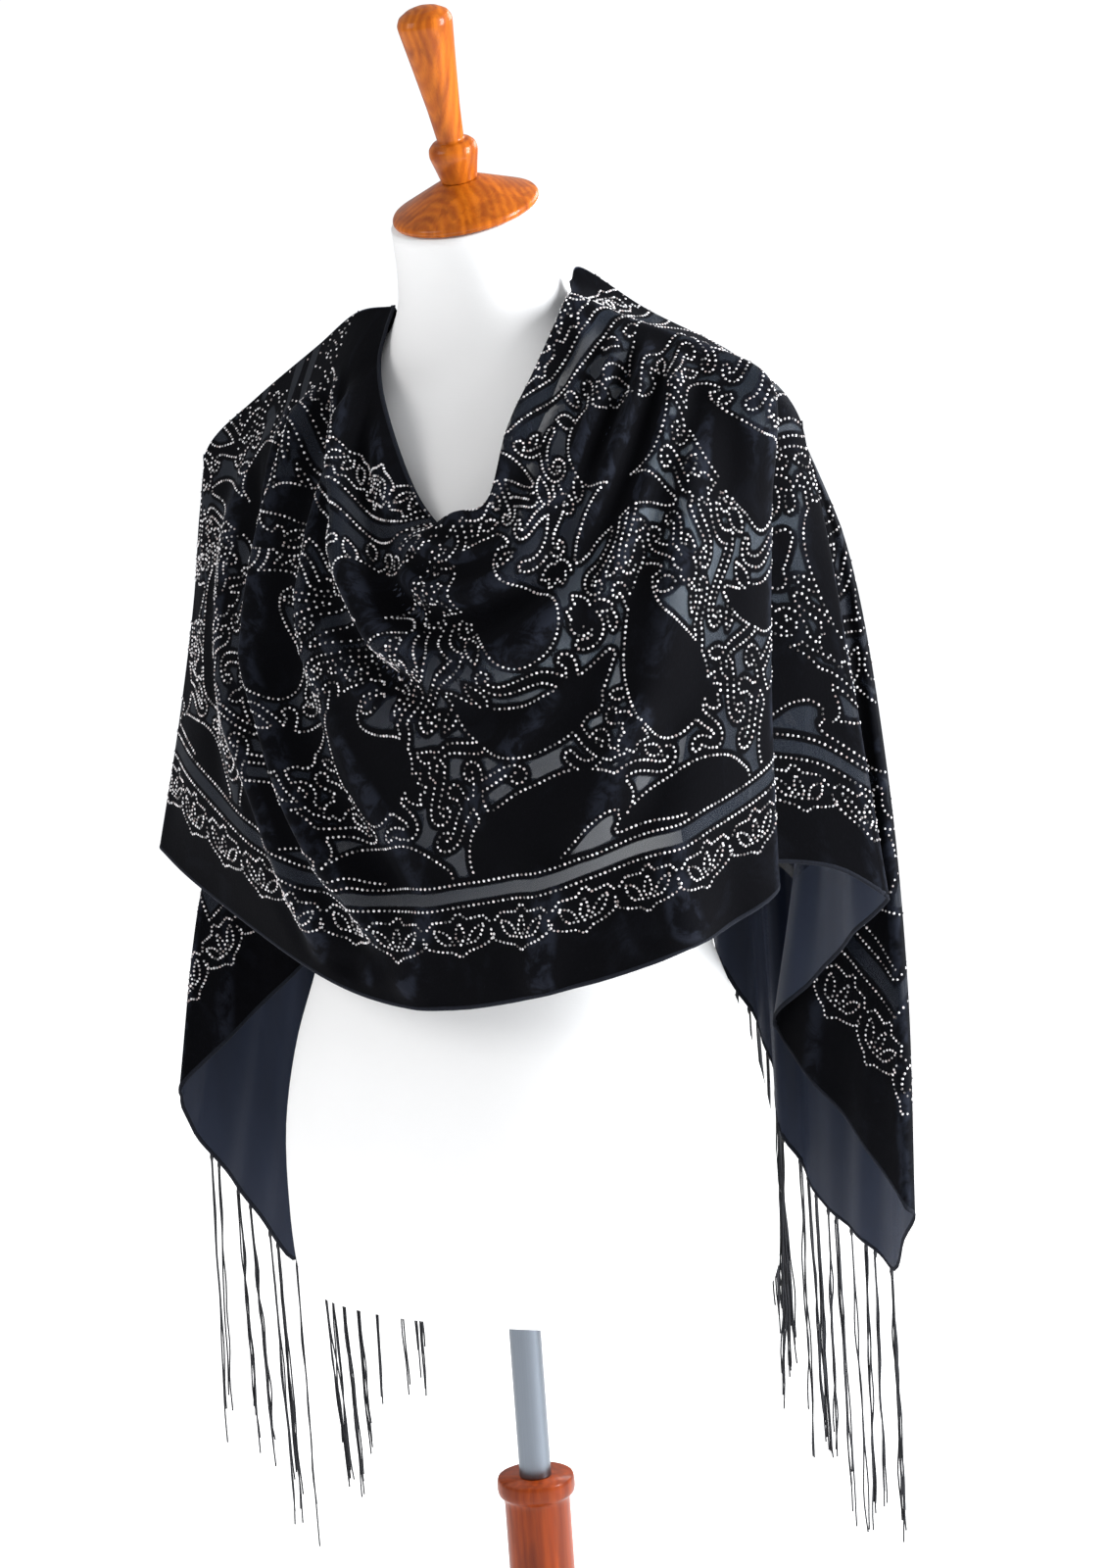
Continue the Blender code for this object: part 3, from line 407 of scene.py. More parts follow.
def even_places(count):
    """Places along the front's ribs that are equally far apart on the cloth."""
    stops = np.linspace(0, len(FRONT_RIBS) - 1, EVEN_STOPS * len(FRONT_RIBS))
    far = lengths(rib_surface(stops, np.linspace(*EVEN_SHARES))).mean(axis=1)
    return np.interp(np.linspace(0, far[-1], count + 1), far, stops)


def cloth_shares():
    """Shares of the cloth's width at which the front has points."""
    low = np.linspace(0, SHOULDER_SHARE, SHOULDER_STEPS + 1)
    high = np.linspace(SHOULDER_SHARE, 1, FRONT_DROP_STEPS + 1)
    return np.concatenate([low, high[1:]])


def front_stretch(tree):
    """Points of the front, as places along the cloth by shares across it, and the ribs' places."""
    places = even_places(FRONT_STEPS)
    surface = cleared(rib_surface(places, cloth_shares()), tree, FORM_GAP)
    lift = np.zeros(surface.shape[:2])
    for _, half_width, height, *ridge in FRONT_FOLDS:
        size = half_width / 1000, height / 1000
        lift += fold_height(surface[..., 0], surface[..., 2], *size, *(np.array(ridge) / 1000))
    behind = np.clip((FOLDS_BACK - surface[..., 1]) / FOLDS_FADE, 0, 1)
    from_fold = np.clip(np.minimum(places, len(FRONT_RIBS) - 1 - places), 0, 1)[:, None]
    pleats = np.clip((PLEAT_RIB - places) / PLEAT_FADE, 0, 1)[:, None]
    lift = evened(evened(lift * behind * from_fold * pleats, 2), 2, axis=1)
    return cleared(surface + normals_of(surface) * lift[..., None], tree, FORM_GAP), places


def soft_folds(rows, along, down):
    """The height of each wave and its sine, at places along the cloth by shares down it."""
    for count, height, phase, lean in rows:
        yield height, np.sin(along[:, None] * 2 * math.pi * count + phase + lean * down)


def end_stretch(rows, edge, tree):
    """Points of one end, as places round its hem and short edge by shares down its ribs, how far
    round each place is, and where the corner is."""
    shares = cloth_shares()
    down = (shares[SHOULDER_STEPS:] - SHOULDER_SHARE) / (1 - SHOULDER_SHARE)

    def on_edge(share):
        return np.stack([np.interp(share, shares, edge[:, axis]) for axis in range(3)], axis=-1)

    ribs = [on_edge(SHOULDER_SHARE + (1 - SHOULDER_SHARE) * np.array(END_SHARES))]
    ribs += [np.array([on_edge(row[1]), *(np.array(row[3]) / 1000)]) for row in rows]
    ribs = np.array(ribs)
    stops = lengths(ribs[:, -1])
    starts = [SHOULDER_SHARE] + [row[1] for row in rows]
    first, second, corner = stops[1:4]
    fine = np.linspace(0, stops[-1], FINE_MARKS)
    crowd = 1 + sum(CROWD * np.exp(-(((fine - stop) / CROWD_REACH) ** 2)) for stop in (0.0, first, second))
    count = np.concatenate([[0], np.cumsum((crowd[1:] + crowd[:-1]) / 2)])
    where = np.interp(np.linspace(0, count[-1], END_STEPS + 1), count, fine)
    reach = np.interp(where, stops, [FIRST_REACH] + [row[2] for row in rows])
    reach = np.minimum(reach, np.minimum(where, stops[-1] - where))
    grid = np.zeros((len(where), len(END_SHARES), 3))
    for step in np.linspace(-1, 1, TURN_SAMPLES):
        at = where + step * reach
        for column, axis in np.ndindex(len(END_SHARES), 3):
            grid[:, column, axis] += np.interp(at, stops, ribs[:, column, axis]) / TURN_SAMPLES
    surface = smooth(END_SHARES, grid.transpose(1, 0, 2), down).transpose(1, 0, 2)
    behind = np.clip((where - corner) / (stops[-1] - corner), 0, 1)
    open_below = np.clip((down - WAVES_OPEN[0]) / WAVES_OPEN[1], 0, 1)
    wave = sum(height * (1 + sine) / 2 for height, sine in soft_folds(BACK_WAVES, behind, down))
    wave *= np.clip(behind * CORNER_FLAT, 0, 1)[:, None] * open_below
    panel = np.clip(where / PANEL_RISES, 0, 1) * np.clip((corner - where) / PANEL_DIES, 0, 1)
    for height, sine in soft_folds(PANEL_WAVES, where / PANEL_LENGTH, down):
        wave += height * sine * panel[:, None] * open_below
    surface = surface + normals_of(surface) * wave[..., None]
    surface[0] = on_edge(SHOULDER_SHARE + (1 - SHOULDER_SHARE) * down)
    surface[:, 0] = on_edge(np.interp(where, stops, starts))
    for stop, round_by in ((0.0, FIRST_TURN), (first, rows[0][2]), (second, rows[1][2])):
        past = 0.5 + 0.5 * np.tanh((where - stop) / (round_by * TURN_SHARE))
        past = np.clip(2 * past - 1, 0, 1) * FIRST_WIDTH if stop == 0 else past
        surface[..., 1] += TURN_WIDTH * past[:, None] * np.clip(down / TURN_OPENS, 0, 1)
    surface[1:, 1:] = cleared(surface, tree, FORM_GAP)[1:, 1:]
    return surface, where, int(np.searchsorted(where, corner))


def rounded_at(grid, at):
    """A joined grid with its fold at one place rounded, by evening out the points along its rows."""
    weight = np.clip(1 - np.abs(np.arange(len(grid)) - at) / FOLD_ROUND_ROWS, 0, 1)[1:-1, None, None]
    for _ in range(FOLD_ROUNDS):
        grid[1:-1] += 0.5 * weight * ((grid[:-2] + grid[2:]) / 2 - grid[1:-1])
    return grid


# The drawing burnt into the cloth, in millimetres: x along the cloth, y across it from the neck edge.
# It repeats along the cloth. Each blob is a row of x, y and half width along its spine.
REPEAT = 236
BLOB_FULLNESS = 1.12
BLOBS = (
    ("paisley_a", ((40, 398, 27), (66, 384, 25), (93, 374, 19), (115, 376, 12), (127, 387, 6),
        (124, 396, 3))),
    ("paisley_b", ((176, 330, 27), (158, 306, 24), (148, 281, 17), (152, 258, 10), (163, 247, 6),
        (172, 251, 3))),
    ("paisley_c", ((58, 246, 26), (38, 228, 23), (26, 206, 17), (26, 184, 10), (35, 172, 6),
        (44, 175, 3))),
    ("paisley_d", ((160, 142, 27), (186, 154, 24), (209, 165, 17), (229, 162, 10), (240, 152, 6),
        (237, 143, 3))),
    ("crescent_a", ((2, 296, 3), (18, 312, 9), (44, 320, 15), (74, 315, 16), (100, 299, 11),
        (118, 281, 4))),
    ("crescent_b", ((84, 140, 3), (72, 120, 9), (48, 107, 14), (20, 108, 15), (-6, 122, 10),
        (-20, 142, 4))),
    ("crescent_c", ((122, 404, 4), (146, 398, 10), (174, 396, 14), (202, 402, 14), (224, 412, 9))),
    ("crescent_d", ((108, 208, 3), (122, 194, 8), (146, 186, 12), (172, 190, 12), (194, 204, 8),
        (206, 220, 3))),
)
# Each vine: x, y, the way it sets off in degrees, its length, how sharply it bends at its start and its
# end in degrees for each centimetre, and its half width.
VINES = (
    (66, 424, -8, 150, 6, 20, 4.6),
    (120, 350, 200, 92, 10, 150, 4.4),
    (84, 342, 60, 70, -30, -190, 4.2),
    (200, 300, 70, 96, 26, 150, 4.4),
    (98, 268, 20, 74, -48, -180, 4.2),
    (14, 268, 190, 80, 30, 160, 4.4),
    (60, 196, 20, 88, -26, 165, 4.4),
    (4, 164, 50, 56, 20, 190, 4.0),
    (108, 150, 80, 66, 24, -190, 4.2),
    (124, 108, 165, 74, -20, -175, 4.2),
    (196, 108, 10, 72, 24, 180, 4.2),
)
# Each spray of leaves: x, y, the way of its middle leaf in degrees, how many leaves, the length of the
# middle one, and the degrees between them.
SPRAYS = (
    (128, 338, 30, 5, 23, 34),
    (204, 262, 200, 5, 22, 36),
    (112, 244, 160, 4, 22, 38),
    (88, 204, 100, 4, 21, 38),
    (232, 222, 120, 4, 21, 38),
    (198, 348, -20, 4, 21, 38),
)
GROWN_SEED = 14
GROWN_TURNS = 30
GROWN_CURLS = 24  # turns of those that grow curls, before the leaves
GROWN_TRIES = 1500
GROWN_FREE = 10  # points of a grown stroke that may still touch what it grows from
GROWN_POINTS = 4  # the fewest points past those
GROWN_SLOPE = 2
GROWN_GAP = 3.0  # sheer ground left between a grown curl and what is beside it, in millimetres
GROWN_FROM = (-1.5, 0.6)  # how near an outline it starts
GROWN_ASIDE = 110  # degrees over which the ways it sets off are spread
# Of what is grown: the least, and how much a draw between 0 and 1 adds
LEAF_LENGTHS = (15, 13)
LEAF_WIDTHS = (0.20, 0.07)  # of the length
CURL_LENGTHS = (44, 46)
CURL_CLOSES = (9000, 5000)  # the bend at its end times its length
CURL_WIDTHS = (3.9, 0.9)
CURL_OPENS = 26  # the most that it bends at its start
CURL_SHRINKS = 0.6  # how much shorter the last curls are
LEAF_WIDTH = 5.2  # half width of a leaf of LEAF_LENGTH in a spray
LEAF_LENGTH = 22
LEAF_MARKS = 16
LEAF_TIP = 0.4  # half width at its tip
LEAF_BEND = 0.5
LEAF_BELLY = 0.8
SPRAY_SHORTENS = 0.12  # of a leaf's length, for each place away from the middle one
VINE_NARROWS = 0.25
CENTIMETRE = 10
STROKE_STEP = 0.9
STAMP_REACH = 12
CELL = 0.8  # of the table that the distances to the drawing are read from, in millimetres
FAR = 30.0
FIELD_FROM = 0.089  # from a long edge to the drawing
STRIPE = 0.077  # from a long edge to the middle of the sheer stripe beside the scallops
STRIPE_HALF = 0.0042
ROW_OUT = 0.0076  # from the middle of the stripe to the row of dots on each side
END_MARGIN = 0.095  # plain velvet at each short end
DOT_STEP = 3.5
DOT_APART = 0.9  # of a step, from a new line's first dot to the nearest one
DOT_STOP = 0.74  # of a step, at which a line of dots ends at another
DOT_OFF_LINE = 0.6
DOT_INSET = 0.6
BEAD_CELL = 4
BEAD_STEPS = 4  # from one dot to the next, along the outline
BEAD_START = 0.3  # how near the line of dots a cell of the table is where one may start
BORDER_STEP = 3.1
PILE_SPREAD = 0.0030  # how far the standing pile reaches past the strokes
SCALLOP = 49.0
END_SCALLOPS = 6
END_SCALLOP_FROM = 0.105
MOST_IN_STRING = 300


def walked(x, y, angles, step, half):
    """A spine of x, y and half width that sets off from x, y and takes a step at each angle."""
    return np.stack([x + np.cumsum(np.cos(angles)) * step, y + np.cumsum(np.sin(angles)) * step, half], 1)


def spine(rows):
    """A smooth curve of x, y, half width through the rows, with a point every step."""
    rows = np.array(rows, float)
    along = lengths(rows[:, :2])
    return smooth(along, rows, np.linspace(0, along[-1], max(3, int(along[-1] / STROKE_STEP))))


def vine(x, y, heading, length, bend, last_bend, half):
    """A band that bends more and more towards its end, where it closes in a hook."""
    share = np.linspace(0, 1, int(length / STROKE_STEP))
    turn = np.radians((bend + (last_bend - bend) * share**3) / CENTIMETRE)
    angle = math.radians(heading) + np.concatenate(
        [[0], np.cumsum((turn[1:] + turn[:-1]) / 2 * STROKE_STEP)]
    )
    return walked(x, y, angle, STROKE_STEP, half * (1 - VINE_NARROWS * share))


def leaf(x, y, heading, length, width):
    """A pointed leaf as a short spine."""
    along = np.linspace(0, 1, LEAF_MARKS)
    half = width * np.clip(np.sin(math.pi * along**LEAF_BELLY), 0, 1) + LEAF_TIP
    return walked(x, y, math.radians(heading) + LEAF_BEND * (along - 0.5), length / len(along), half)


def charted_strokes():
    """The strokes listed in one repeat, as spines of x, y, half width."""
    found = [spine(rows) * (1, 1, BLOB_FULLNESS) for _, rows in BLOBS]
    found += [vine(*row) for row in VINES]
    for x, y, heading, count, length, spread in SPRAYS:
        for index in range(count):
            off = index - (count - 1) / 2
            size = length * (1 - SPRAY_SHORTENS * abs(off))
            found.append(leaf(x, y, heading + spread * off, size, LEAF_WIDTH * size / LEAF_LENGTH))
    return found


def stamp(table, line):
    """Takes one stroke into the table of distances."""
    rows, columns = table.shape
    for x, y, half in line[::2]:
        reach = half + STAMP_REACH
        low = max(0, int((y - reach) / CELL))
        high = min(rows, int((y + reach) / CELL) + 1)
        if low >= high:
            continue
        span = np.arange(int((x - reach) / CELL), int((x + reach) / CELL) + 1)
        far = np.hypot(span[None, :] * CELL - x, np.arange(low, high)[:, None] * CELL - y) - half
        place = span % columns
        table[low:high, place] = np.minimum(table[low:high, place], far)


def table_at(table, x, y):
    """The table read between its cells; it repeats along x."""
    fx = (np.asarray(x) / CELL) % table.shape[1]
    fy = np.clip(np.asarray(y) / CELL, 0, table.shape[0] - 1.001)
    i = fy.astype(int)
    j = fx.astype(int)
    after = (j + 1) % table.shape[1]
    u = fx - j
    v = fy - i
    low = table[i, j] * (1 - u) + table[i, after] * u
    high = table[i + 1, j] * (1 - u) + table[i + 1, after] * u
    return low * (1 - v) + high * v


def slope_at(table, x, y, step):
    """How much more the table holds a step on than a step back, along x and along y."""
    return (
        table_at(table, x + step, y) - table_at(table, x - step, y),
        table_at(table, x, y + step) - table_at(table, x, y - step),
    )


def grown(table, low, high, turn, start, aside, length, bend, last_bend):
    """One curl or leaf that grows out of an outline at start, or nothing where it has no room."""
    x, y = start
    slope_x, slope_y = slope_at(table, x, y, GROWN_SLOPE)
    if min(y - low, high - y) < abs(table_at(table, x, y)):
        slope_x, slope_y = 0, 1 if y < (low + high) / 2 else -1
    heading = math.degrees(math.atan2(slope_y, slope_x)) + GROWN_ASIDE * (aside - 0.5)
    hand = 1 if aside > 0.5 else -1

    def between(pair, draw):
        return pair[0] + pair[1] * draw

    if turn >= GROWN_CURLS:
        size = between(LEAF_LENGTHS, length)
        line = leaf(x, y, heading, size, between(LEAF_WIDTHS, bend) * size)
    else:
        size = between(CURL_LENGTHS, length) * (1 - CURL_SHRINKS * turn / GROWN_CURLS)
        last = -hand * between(CURL_CLOSES, last_bend) / size
        line = vine(x, y, heading, size, CURL_OPENS * bend * hand, last, between(CURL_WIDTHS, bend))
    tips = line[GROWN_FREE:]
    clear = table_at(table, tips[:, 0], tips[:, 1]) - tips[:, 2]
    inside = np.minimum(tips[:, 1] - low, high - tips[:, 1]) - tips[:, 2]
    if len(tips) < GROWN_POINTS or min(clear.min(), inside.min()) < GROWN_GAP:
        return None
    return line


def drawn_table():
    """The table of distances to the strokes of one repeat: negative inside a stroke.

    Curls and leaves grow out of the charted outlines into the open ground wherever they fit."""
    table = np.full((int(round(1000 * WIDTH / CELL)) + 1, int(round(REPEAT / CELL))), FAR)
    for line in charted_strokes():
        stamp(table, line)
    rng = np.random.default_rng(GROWN_SEED)
    low = 1000 * FIELD_FROM
    high = 1000 * (WIDTH - FIELD_FROM)
    for turn in range(GROWN_TURNS):
        draws = rng.random((GROWN_TRIES, 6))
        x = draws[:, 0] * REPEAT
        y = low + draws[:, 1] * (high - low)
        here = np.minimum(table_at(table, x, y), np.minimum(y - low, high - y))
        draws = draws[(here > GROWN_FROM[0]) & (here < GROWN_FROM[1])]
        for x, y, *rest in draws:
            line = grown(table, low, high, turn, (x * REPEAT, low + y * (high - low)), *rest)
            if line is not None:
                stamp(table, line)
    return table


def from_edge(p, q):
    """How far a place on the cloth is from the border's own outer line, which turns at each short end."""
    return np.minimum(np.minimum(q, WIDTH - q), HALF_LENGTH - END_MARGIN - np.abs(p))


def pile_at(table, p, q):
    """Distance in metres to where the velvet pile is left standing: below 0 on the pile."""
    edge = from_edge(p, q)
    drawn = table_at(table, 1000 * p, 1000 * q) / 1000 - PILE_SPREAD
    inner = np.minimum(drawn, edge - FIELD_FROM)
    return np.maximum(inner, STRIPE_HALF - np.abs(edge - STRIPE))


class Beads:
    """Dots strung along the inside of every outline of one repeat, a step apart."""

    def __init__(self, table):
        self.table = table
        self.spots = []
        self.cells = {}

    def uphill(self, x, y):
        """The distance at a place, and the unit way in which it grows."""
        slope_x, slope_y = slope_at(self.table, x, y, CELL)
        size = max(math.hypot(slope_x, slope_y), 1e-6)
        return table_at(self.table, x, y), slope_x / size, slope_y / size

    def free(self, x, y, reach):
        """Whether a place is in the field with no dot within reach; the repeat joins on to itself."""
        if not FIELD_FROM < y / 1000 < WIDTH - FIELD_FROM:
            return False
        cells = math.ceil(REPEAT / BEAD_CELL)
        i, j = int(x % REPEAT // BEAD_CELL), int(y // BEAD_CELL)
        for a, b in np.ndindex(3, 3):
            for other_x, other_y in self.cells.get(((i + a - 1) % cells, j + b - 1), ()):
                off = (x - other_x + REPEAT / 2) % REPEAT - REPEAT / 2
                if math.hypot(off, y - other_y) < reach:
                    return False
        return True

    def add(self, x, y):
        spot = (x % REPEAT, y)
        self.cells.setdefault((int(spot[0] // BEAD_CELL), int(y // BEAD_CELL)), []).append(spot)
        self.spots.append(spot)

    def string(self, x, y, hand):
        """Dots from one place along the outline, until another dot is in the way."""
        for _ in range(MOST_IN_STRING):
            for _ in range(BEAD_STEPS):
                _, up_x, up_y = self.uphill(x, y)
                x -= hand * up_y * DOT_STEP / BEAD_STEPS
                y += hand * up_x * DOT_STEP / BEAD_STEPS
                here, up_x, up_y = self.uphill(x, y)
                x -= up_x * (here + DOT_INSET)
                y -= up_y * (here + DOT_INSET)
            off = abs(table_at(self.table, x, y) + DOT_INSET)
            if off > DOT_OFF_LINE or not self.free(x, y, DOT_STOP * DOT_STEP):
                return
            self.add(x, y)


def dots_of_field(table):
    """Where the dots of one repeat lie, in millimetres."""
    beads = Beads(table)
    for i, j in np.argwhere(np.abs(table + DOT_INSET) < BEAD_START):
        x, y = j * CELL, i * CELL
        if beads.free(x, y, DOT_APART * DOT_STEP):
            beads.add(x, y)
            beads.string(x, y, 1)
            beads.string(x, y, -1)
    return np.array(beads.spots)


# Dotted lines of one scallop: x from its middle, y from the cloth's edge, in millimetres. Those of
# SCALLOP_SIDES come to the left of the middle and to the right.
SCALLOP_MIDDLE = (
    ((-24.5, 51), (-24.5, 47.5), (-22, 43.5), (-14, 40), (-6, 38.2), (0, 34), (6, 38.2), (14, 40), (22, 43.5),
     (24.5, 47.5)),
    ((0, 43), (-3, 48), (-2.6, 53), (0, 58.5), (2.6, 53), (3, 48), (0, 43)),
)
SCALLOP_SIDES = (
    ((4.5, 43.5), (11, 44.5), (15, 49), (17.5, 56), (12, 54.5), (7.5, 50.5), (4.5, 43.5)),
    ((1.5, 64.5), (5, 60.5), (10.5, 60.8), (17, 61.5), (21.5, 57)),
)


def dots_of_border():
    """The dots of one scallop, x from its middle and y from the edge."""
    sides = [np.array(line) * (hand, 1) for line in SCALLOP_SIDES for hand in (-1, 1)]
    found = []
    for line in (*SCALLOP_MIDDLE, *sides):
        line = np.array(line, float)
        total = lengths(line)[-1]
        count = max(2, round(total / BORDER_STEP))
        closed = np.allclose(line[0], line[-1])
        found.append(resampled(line, np.linspace(0, total, count + 1)[: count if closed else None]))
    return np.concatenate(found)


class Stretch:
    """One stretch of the cloth: its points, and where each lies on the cut before it is draped."""

    def __init__(self, grid, p, q):
        self.grid = grid
        self.p = p
        self.q = q
        self.normal = normals_of(grid)

    def reverse(self):
        """The points of every other row and column, moved in behind the face, and their cut."""
        pick = np.ix_(*(np.unique([*range(0, count, 2), count - 1]) for count in self.p.shape))
        return self.grid[pick] - LAYER * self.normal[pick], self.p[pick], self.q[pick]


def cut_of_front(grid, places):
    """Where each point of the front lies on the cut, along it and across it."""
    tuck = np.interp(places, np.arange(len(NECK_TUCK)), NECK_TUCK)
    down = lengths(grid.transpose(1, 0, 2))
    q = np.zeros(down.shape).T
    for row, start in enumerate(tuck):
        far = down[:, row]
        near = max(BORDER_REACH - start, LEAST_CLOTH)
        marks = [0, near, max(far[-1] - BORDER_REACH, near + LEAST_CLOTH), far[-1]]
        q[row] = np.interp(far, marks, [start, start + near, WIDTH - BORDER_REACH, WIDTH])
    along = lengths(grid)
    p = along - along[int(np.searchsorted(places, MIDDLE_RIB))]
    return evened(p, CUT_ROUNDS, axis=1), q


def cut_of_end(grid, where, corner, edge_p, edge_q, sign):
    """The same for one end, whose first row and first column lie on the front's outer edge."""
    ridge = np.interp(where, [0, where[corner], where[-1]], [SHOULDER_SHARE, CORNER_SHARE, 0.0])
    hem = np.minimum(where / where[corner], 1)
    across = np.clip((where - where[corner]) / (where[-1] - where[corner]), 0, 1)
    down = lengths(grid.transpose(1, 0, 2)).T
    share = down / down[:, -1:]
    step = lengths(grid)
    beside = np.exp(-((step / FOLD_BESIDE) ** 2))
    found = []
    for edge, stop, out in (
        (edge_p, sign * (abs(edge_p[-1]) + (HALF_LENGTH - abs(edge_p[-1])) * hem), sign * step),
        (edge_q, WIDTH * (1 - across), 0),
    ):
        start = np.interp(ridge, cloth_shares(), edge)
        own = start[:, None] + (stop - start)[:, None] * share
        found.append((1 - beside) * own + beside * (edge[SHOULDER_STEPS:] + out))
    return found


@functools.lru_cache(maxsize=None)
def draped():
    """The three stretches of the cloth with their corners, and the form under them, worked out once."""
    points = form_points(HIDDEN_LEVELS, HIDDEN_COLUMNS)
    every = [*points.reshape(-1, 3), points[0].mean(axis=0), points[-1].mean(axis=0)]
    tree = BVHTree.FromPolygons(list(map(tuple, every)), wrapped_faces(HIDDEN_LEVELS, HIDDEN_COLUMNS))
    front, places = front_stretch(tree)
    minus, where_minus, corner_minus = end_stretch(END_MINUS, front[0], tree)
    plus, where_plus, corner_plus = end_stretch(END_PLUS, front[-1], tree)
    drop = front[:, SHOULDER_STEPS:]
    joined = np.concatenate([minus[:0:-1], drop, plus[1:]])
    first = len(minus) - 1
    last = first + len(drop) - 1
    for fold in (first, last):
        joined = rounded_at(joined, fold)
    minus = joined[: first + 1][::-1]
    plus = joined[last:]
    fade = np.clip((cloth_shares() - SHOULDER_SHARE) / FOLD_START, 0, 1)[SHOULDER_STEPS:, None]
    front = front.copy()
    front[:, SHOULDER_STEPS:] += fade * (joined[first : last + 1] - drop)
    minus[0] = front[0, SHOULDER_STEPS:]
    plus[0] = front[-1, SHOULDER_STEPS:]
    p, q = cut_of_front(front, places)
    found = {"front": Stretch(front, p, q)}
    for name, grid, where, corner, edge, sign in (
        ("end_minus", minus, where_minus, corner_minus, 0, -1),
        ("end_plus", plus, where_plus, corner_plus, -1, 1),
    ):
        rows = [grid, *cut_of_end(grid, where, corner, p[edge], q[edge], sign)]
        if sign < 0:
            rows = [row[::-1] for row in rows]
            corner = len(grid) - 1 - corner
        found[name] = Stretch(*rows)
        found[name].corner = corner
    return found, tree


def mesh_object(name, points, faces, look):
    """A new mesh object of these points and faces with one material, riding on the part."""
    mesh = bpy.data.meshes.new(name)
    points = np.asarray(points, np.float32)
    faces = np.asarray(faces, np.int32)
    mesh.vertices.add(len(points))
    mesh.vertices.foreach_set("co", points.ravel())
    mesh.loops.add(faces.size)
    mesh.loops.foreach_set("vertex_index", faces.ravel())
    mesh.polygons.add(len(faces))
    mesh.polygons.foreach_set("loop_start", np.arange(len(faces), dtype=np.int32) * faces.shape[1])
    mesh.polygons.foreach_set("use_smooth", np.ones(len(faces), bool))
    mesh.update(calc_edges=True)
    mesh.validate()
    mesh.materials.append(look)
    made = bpy.data.objects.new(name, mesh)
    bpy.context.scene.collection.objects.link(made)
    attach(made, "root")
    return made


def give_coordinates(made, u, v):
    """A UV map in metres of the cut, from one u and one v for each point."""
    mesh = made.data
    corners = np.zeros(len(mesh.loops), np.int32)
    mesh.loops.foreach_get("vertex_index", corners)
    pairs = np.stack([np.ravel(u)[corners], np.ravel(v)[corners]], 1).astype(np.float32)
    mesh.uv_layers.new(name="cut").data.foreach_set("uv", pairs.ravel())


def give_number(made, name, values):
    """One number for each point, as an attribute that a material reads."""
    attribute = made.data.attributes.new(name, "FLOAT", "POINT")
    attribute.data.foreach_set("value", np.ravel(values).astype(np.float32))


def tube_rings(path, up, wide, high, sides):
    """Rings of an oval tube along a path: how wide and high it is may change along it."""
    ahead = unit(np.gradient(path, axis=0))
    side = unit(np.cross(ahead, up))
    out = np.cross(side, ahead)
    wide = np.broadcast_to(wide, len(path))[:, None, None]
    high = np.broadcast_to(high, len(path))[:, None, None]
    circle_x = np.cos(turns(sides))[None, :, None]
    circle_y = np.sin(turns(sides))[None, :, None]
    return path[:, None] + side[:, None] * circle_x * wide + out[:, None] * circle_y * high


def tube_mesh(rings):
    """Points and triangles of a closed tube through its rings, with a fan at each end."""
    count, sides = rings.shape[:2]
    i, j = np.meshgrid(np.arange(count - 1), np.arange(sides), indexing="ij")
    a = (i * sides + j).ravel()
    b = (i * sides + (j + 1) % sides).ravel()
    walls = np.concatenate([np.stack([a, b, b + sides], 1), np.stack([a, b + sides, a + sides], 1)])
    fan = np.arange(1, sides - 1)
    first = np.stack([np.zeros_like(fan), fan + 1, fan], 1)
    last = (count - 1) * sides + np.stack([np.zeros_like(fan), fan, fan + 1], 1)
    return rings.reshape(-1, 3), np.concatenate([walls, first, last])


def joined_meshes(parts):
    """Several lots of points and faces as one."""
    points = np.concatenate([part[0] for part in parts])
    starts = np.cumsum([0] + [len(part[0]) for part in parts[:-1]])
    return points, np.concatenate([part[1] + start for part, start in zip(parts, starts)])


DOME_SIDES = 6
DOME_POINTS = 2 * DOME_SIDES + 1
DOME_HEIGHT = 0.00065
DOME_SHOULDER = (0.68, 0.72)  # how far out and how high the smaller ring lies


def dot_meshes(places, normals, ahead, radius):
    """A low dome at every place: a rim, a smaller ring and a top."""
    angle = turns(DOME_SIDES)
    side = np.cross(normals, ahead)
    ring = np.cos(angle)[None, :, None] * ahead[:, None] + np.sin(angle)[None, :, None] * side[:, None]
    out, up = DOME_SHOULDER
    shoulder = places[:, None] + out * radius * ring + up * DOME_HEIGHT * normals[:, None]
    top = places[:, None] + DOME_HEIGHT * normals[:, None]
    points = np.concatenate([places[:, None] + radius * ring, shoulder, top], axis=1)
    faces = []
    for k in range(DOME_SIDES):
        after = (k + 1) % DOME_SIDES
        faces += [
            (k, after, DOME_SIDES + after),
            (k, DOME_SIDES + after, DOME_SIDES + k),
            (DOME_SIDES + k, DOME_SIDES + after, DOME_POINTS - 1),
        ]
    starts = DOME_POINTS * np.arange(len(places))[:, None, None]
    return points.reshape(-1, 3), (np.array(faces)[None] + starts).reshape(-1, 3)


TURNED_SIDES = 96
TURNED_STEP = 0.0009


def turned(name, profile, foot, lean, look):
    """A round piece from rows of radius and height, closed at both ends."""
    profile = np.array(profile, float)
    length = lengths(profile)[-1]
    rows = resampled(profile, np.linspace(0, length, max(24, int(length / TURNED_STEP))))
    radius = evened(rows, 3)[:, :1]
    x = np.cos(turns(TURNED_SIDES))[None, :] * radius
    y = np.sin(turns(TURNED_SIDES))[None, :] * radius
    z = np.broadcast_to(rows[:, 1:], x.shape)
    upright = y * math.cos(lean) - z * math.sin(lean), y * math.sin(lean) + z * math.cos(lean)
    return mesh_object(name, *tube_mesh(np.stack([x, *upright], axis=-1) + foot), look)


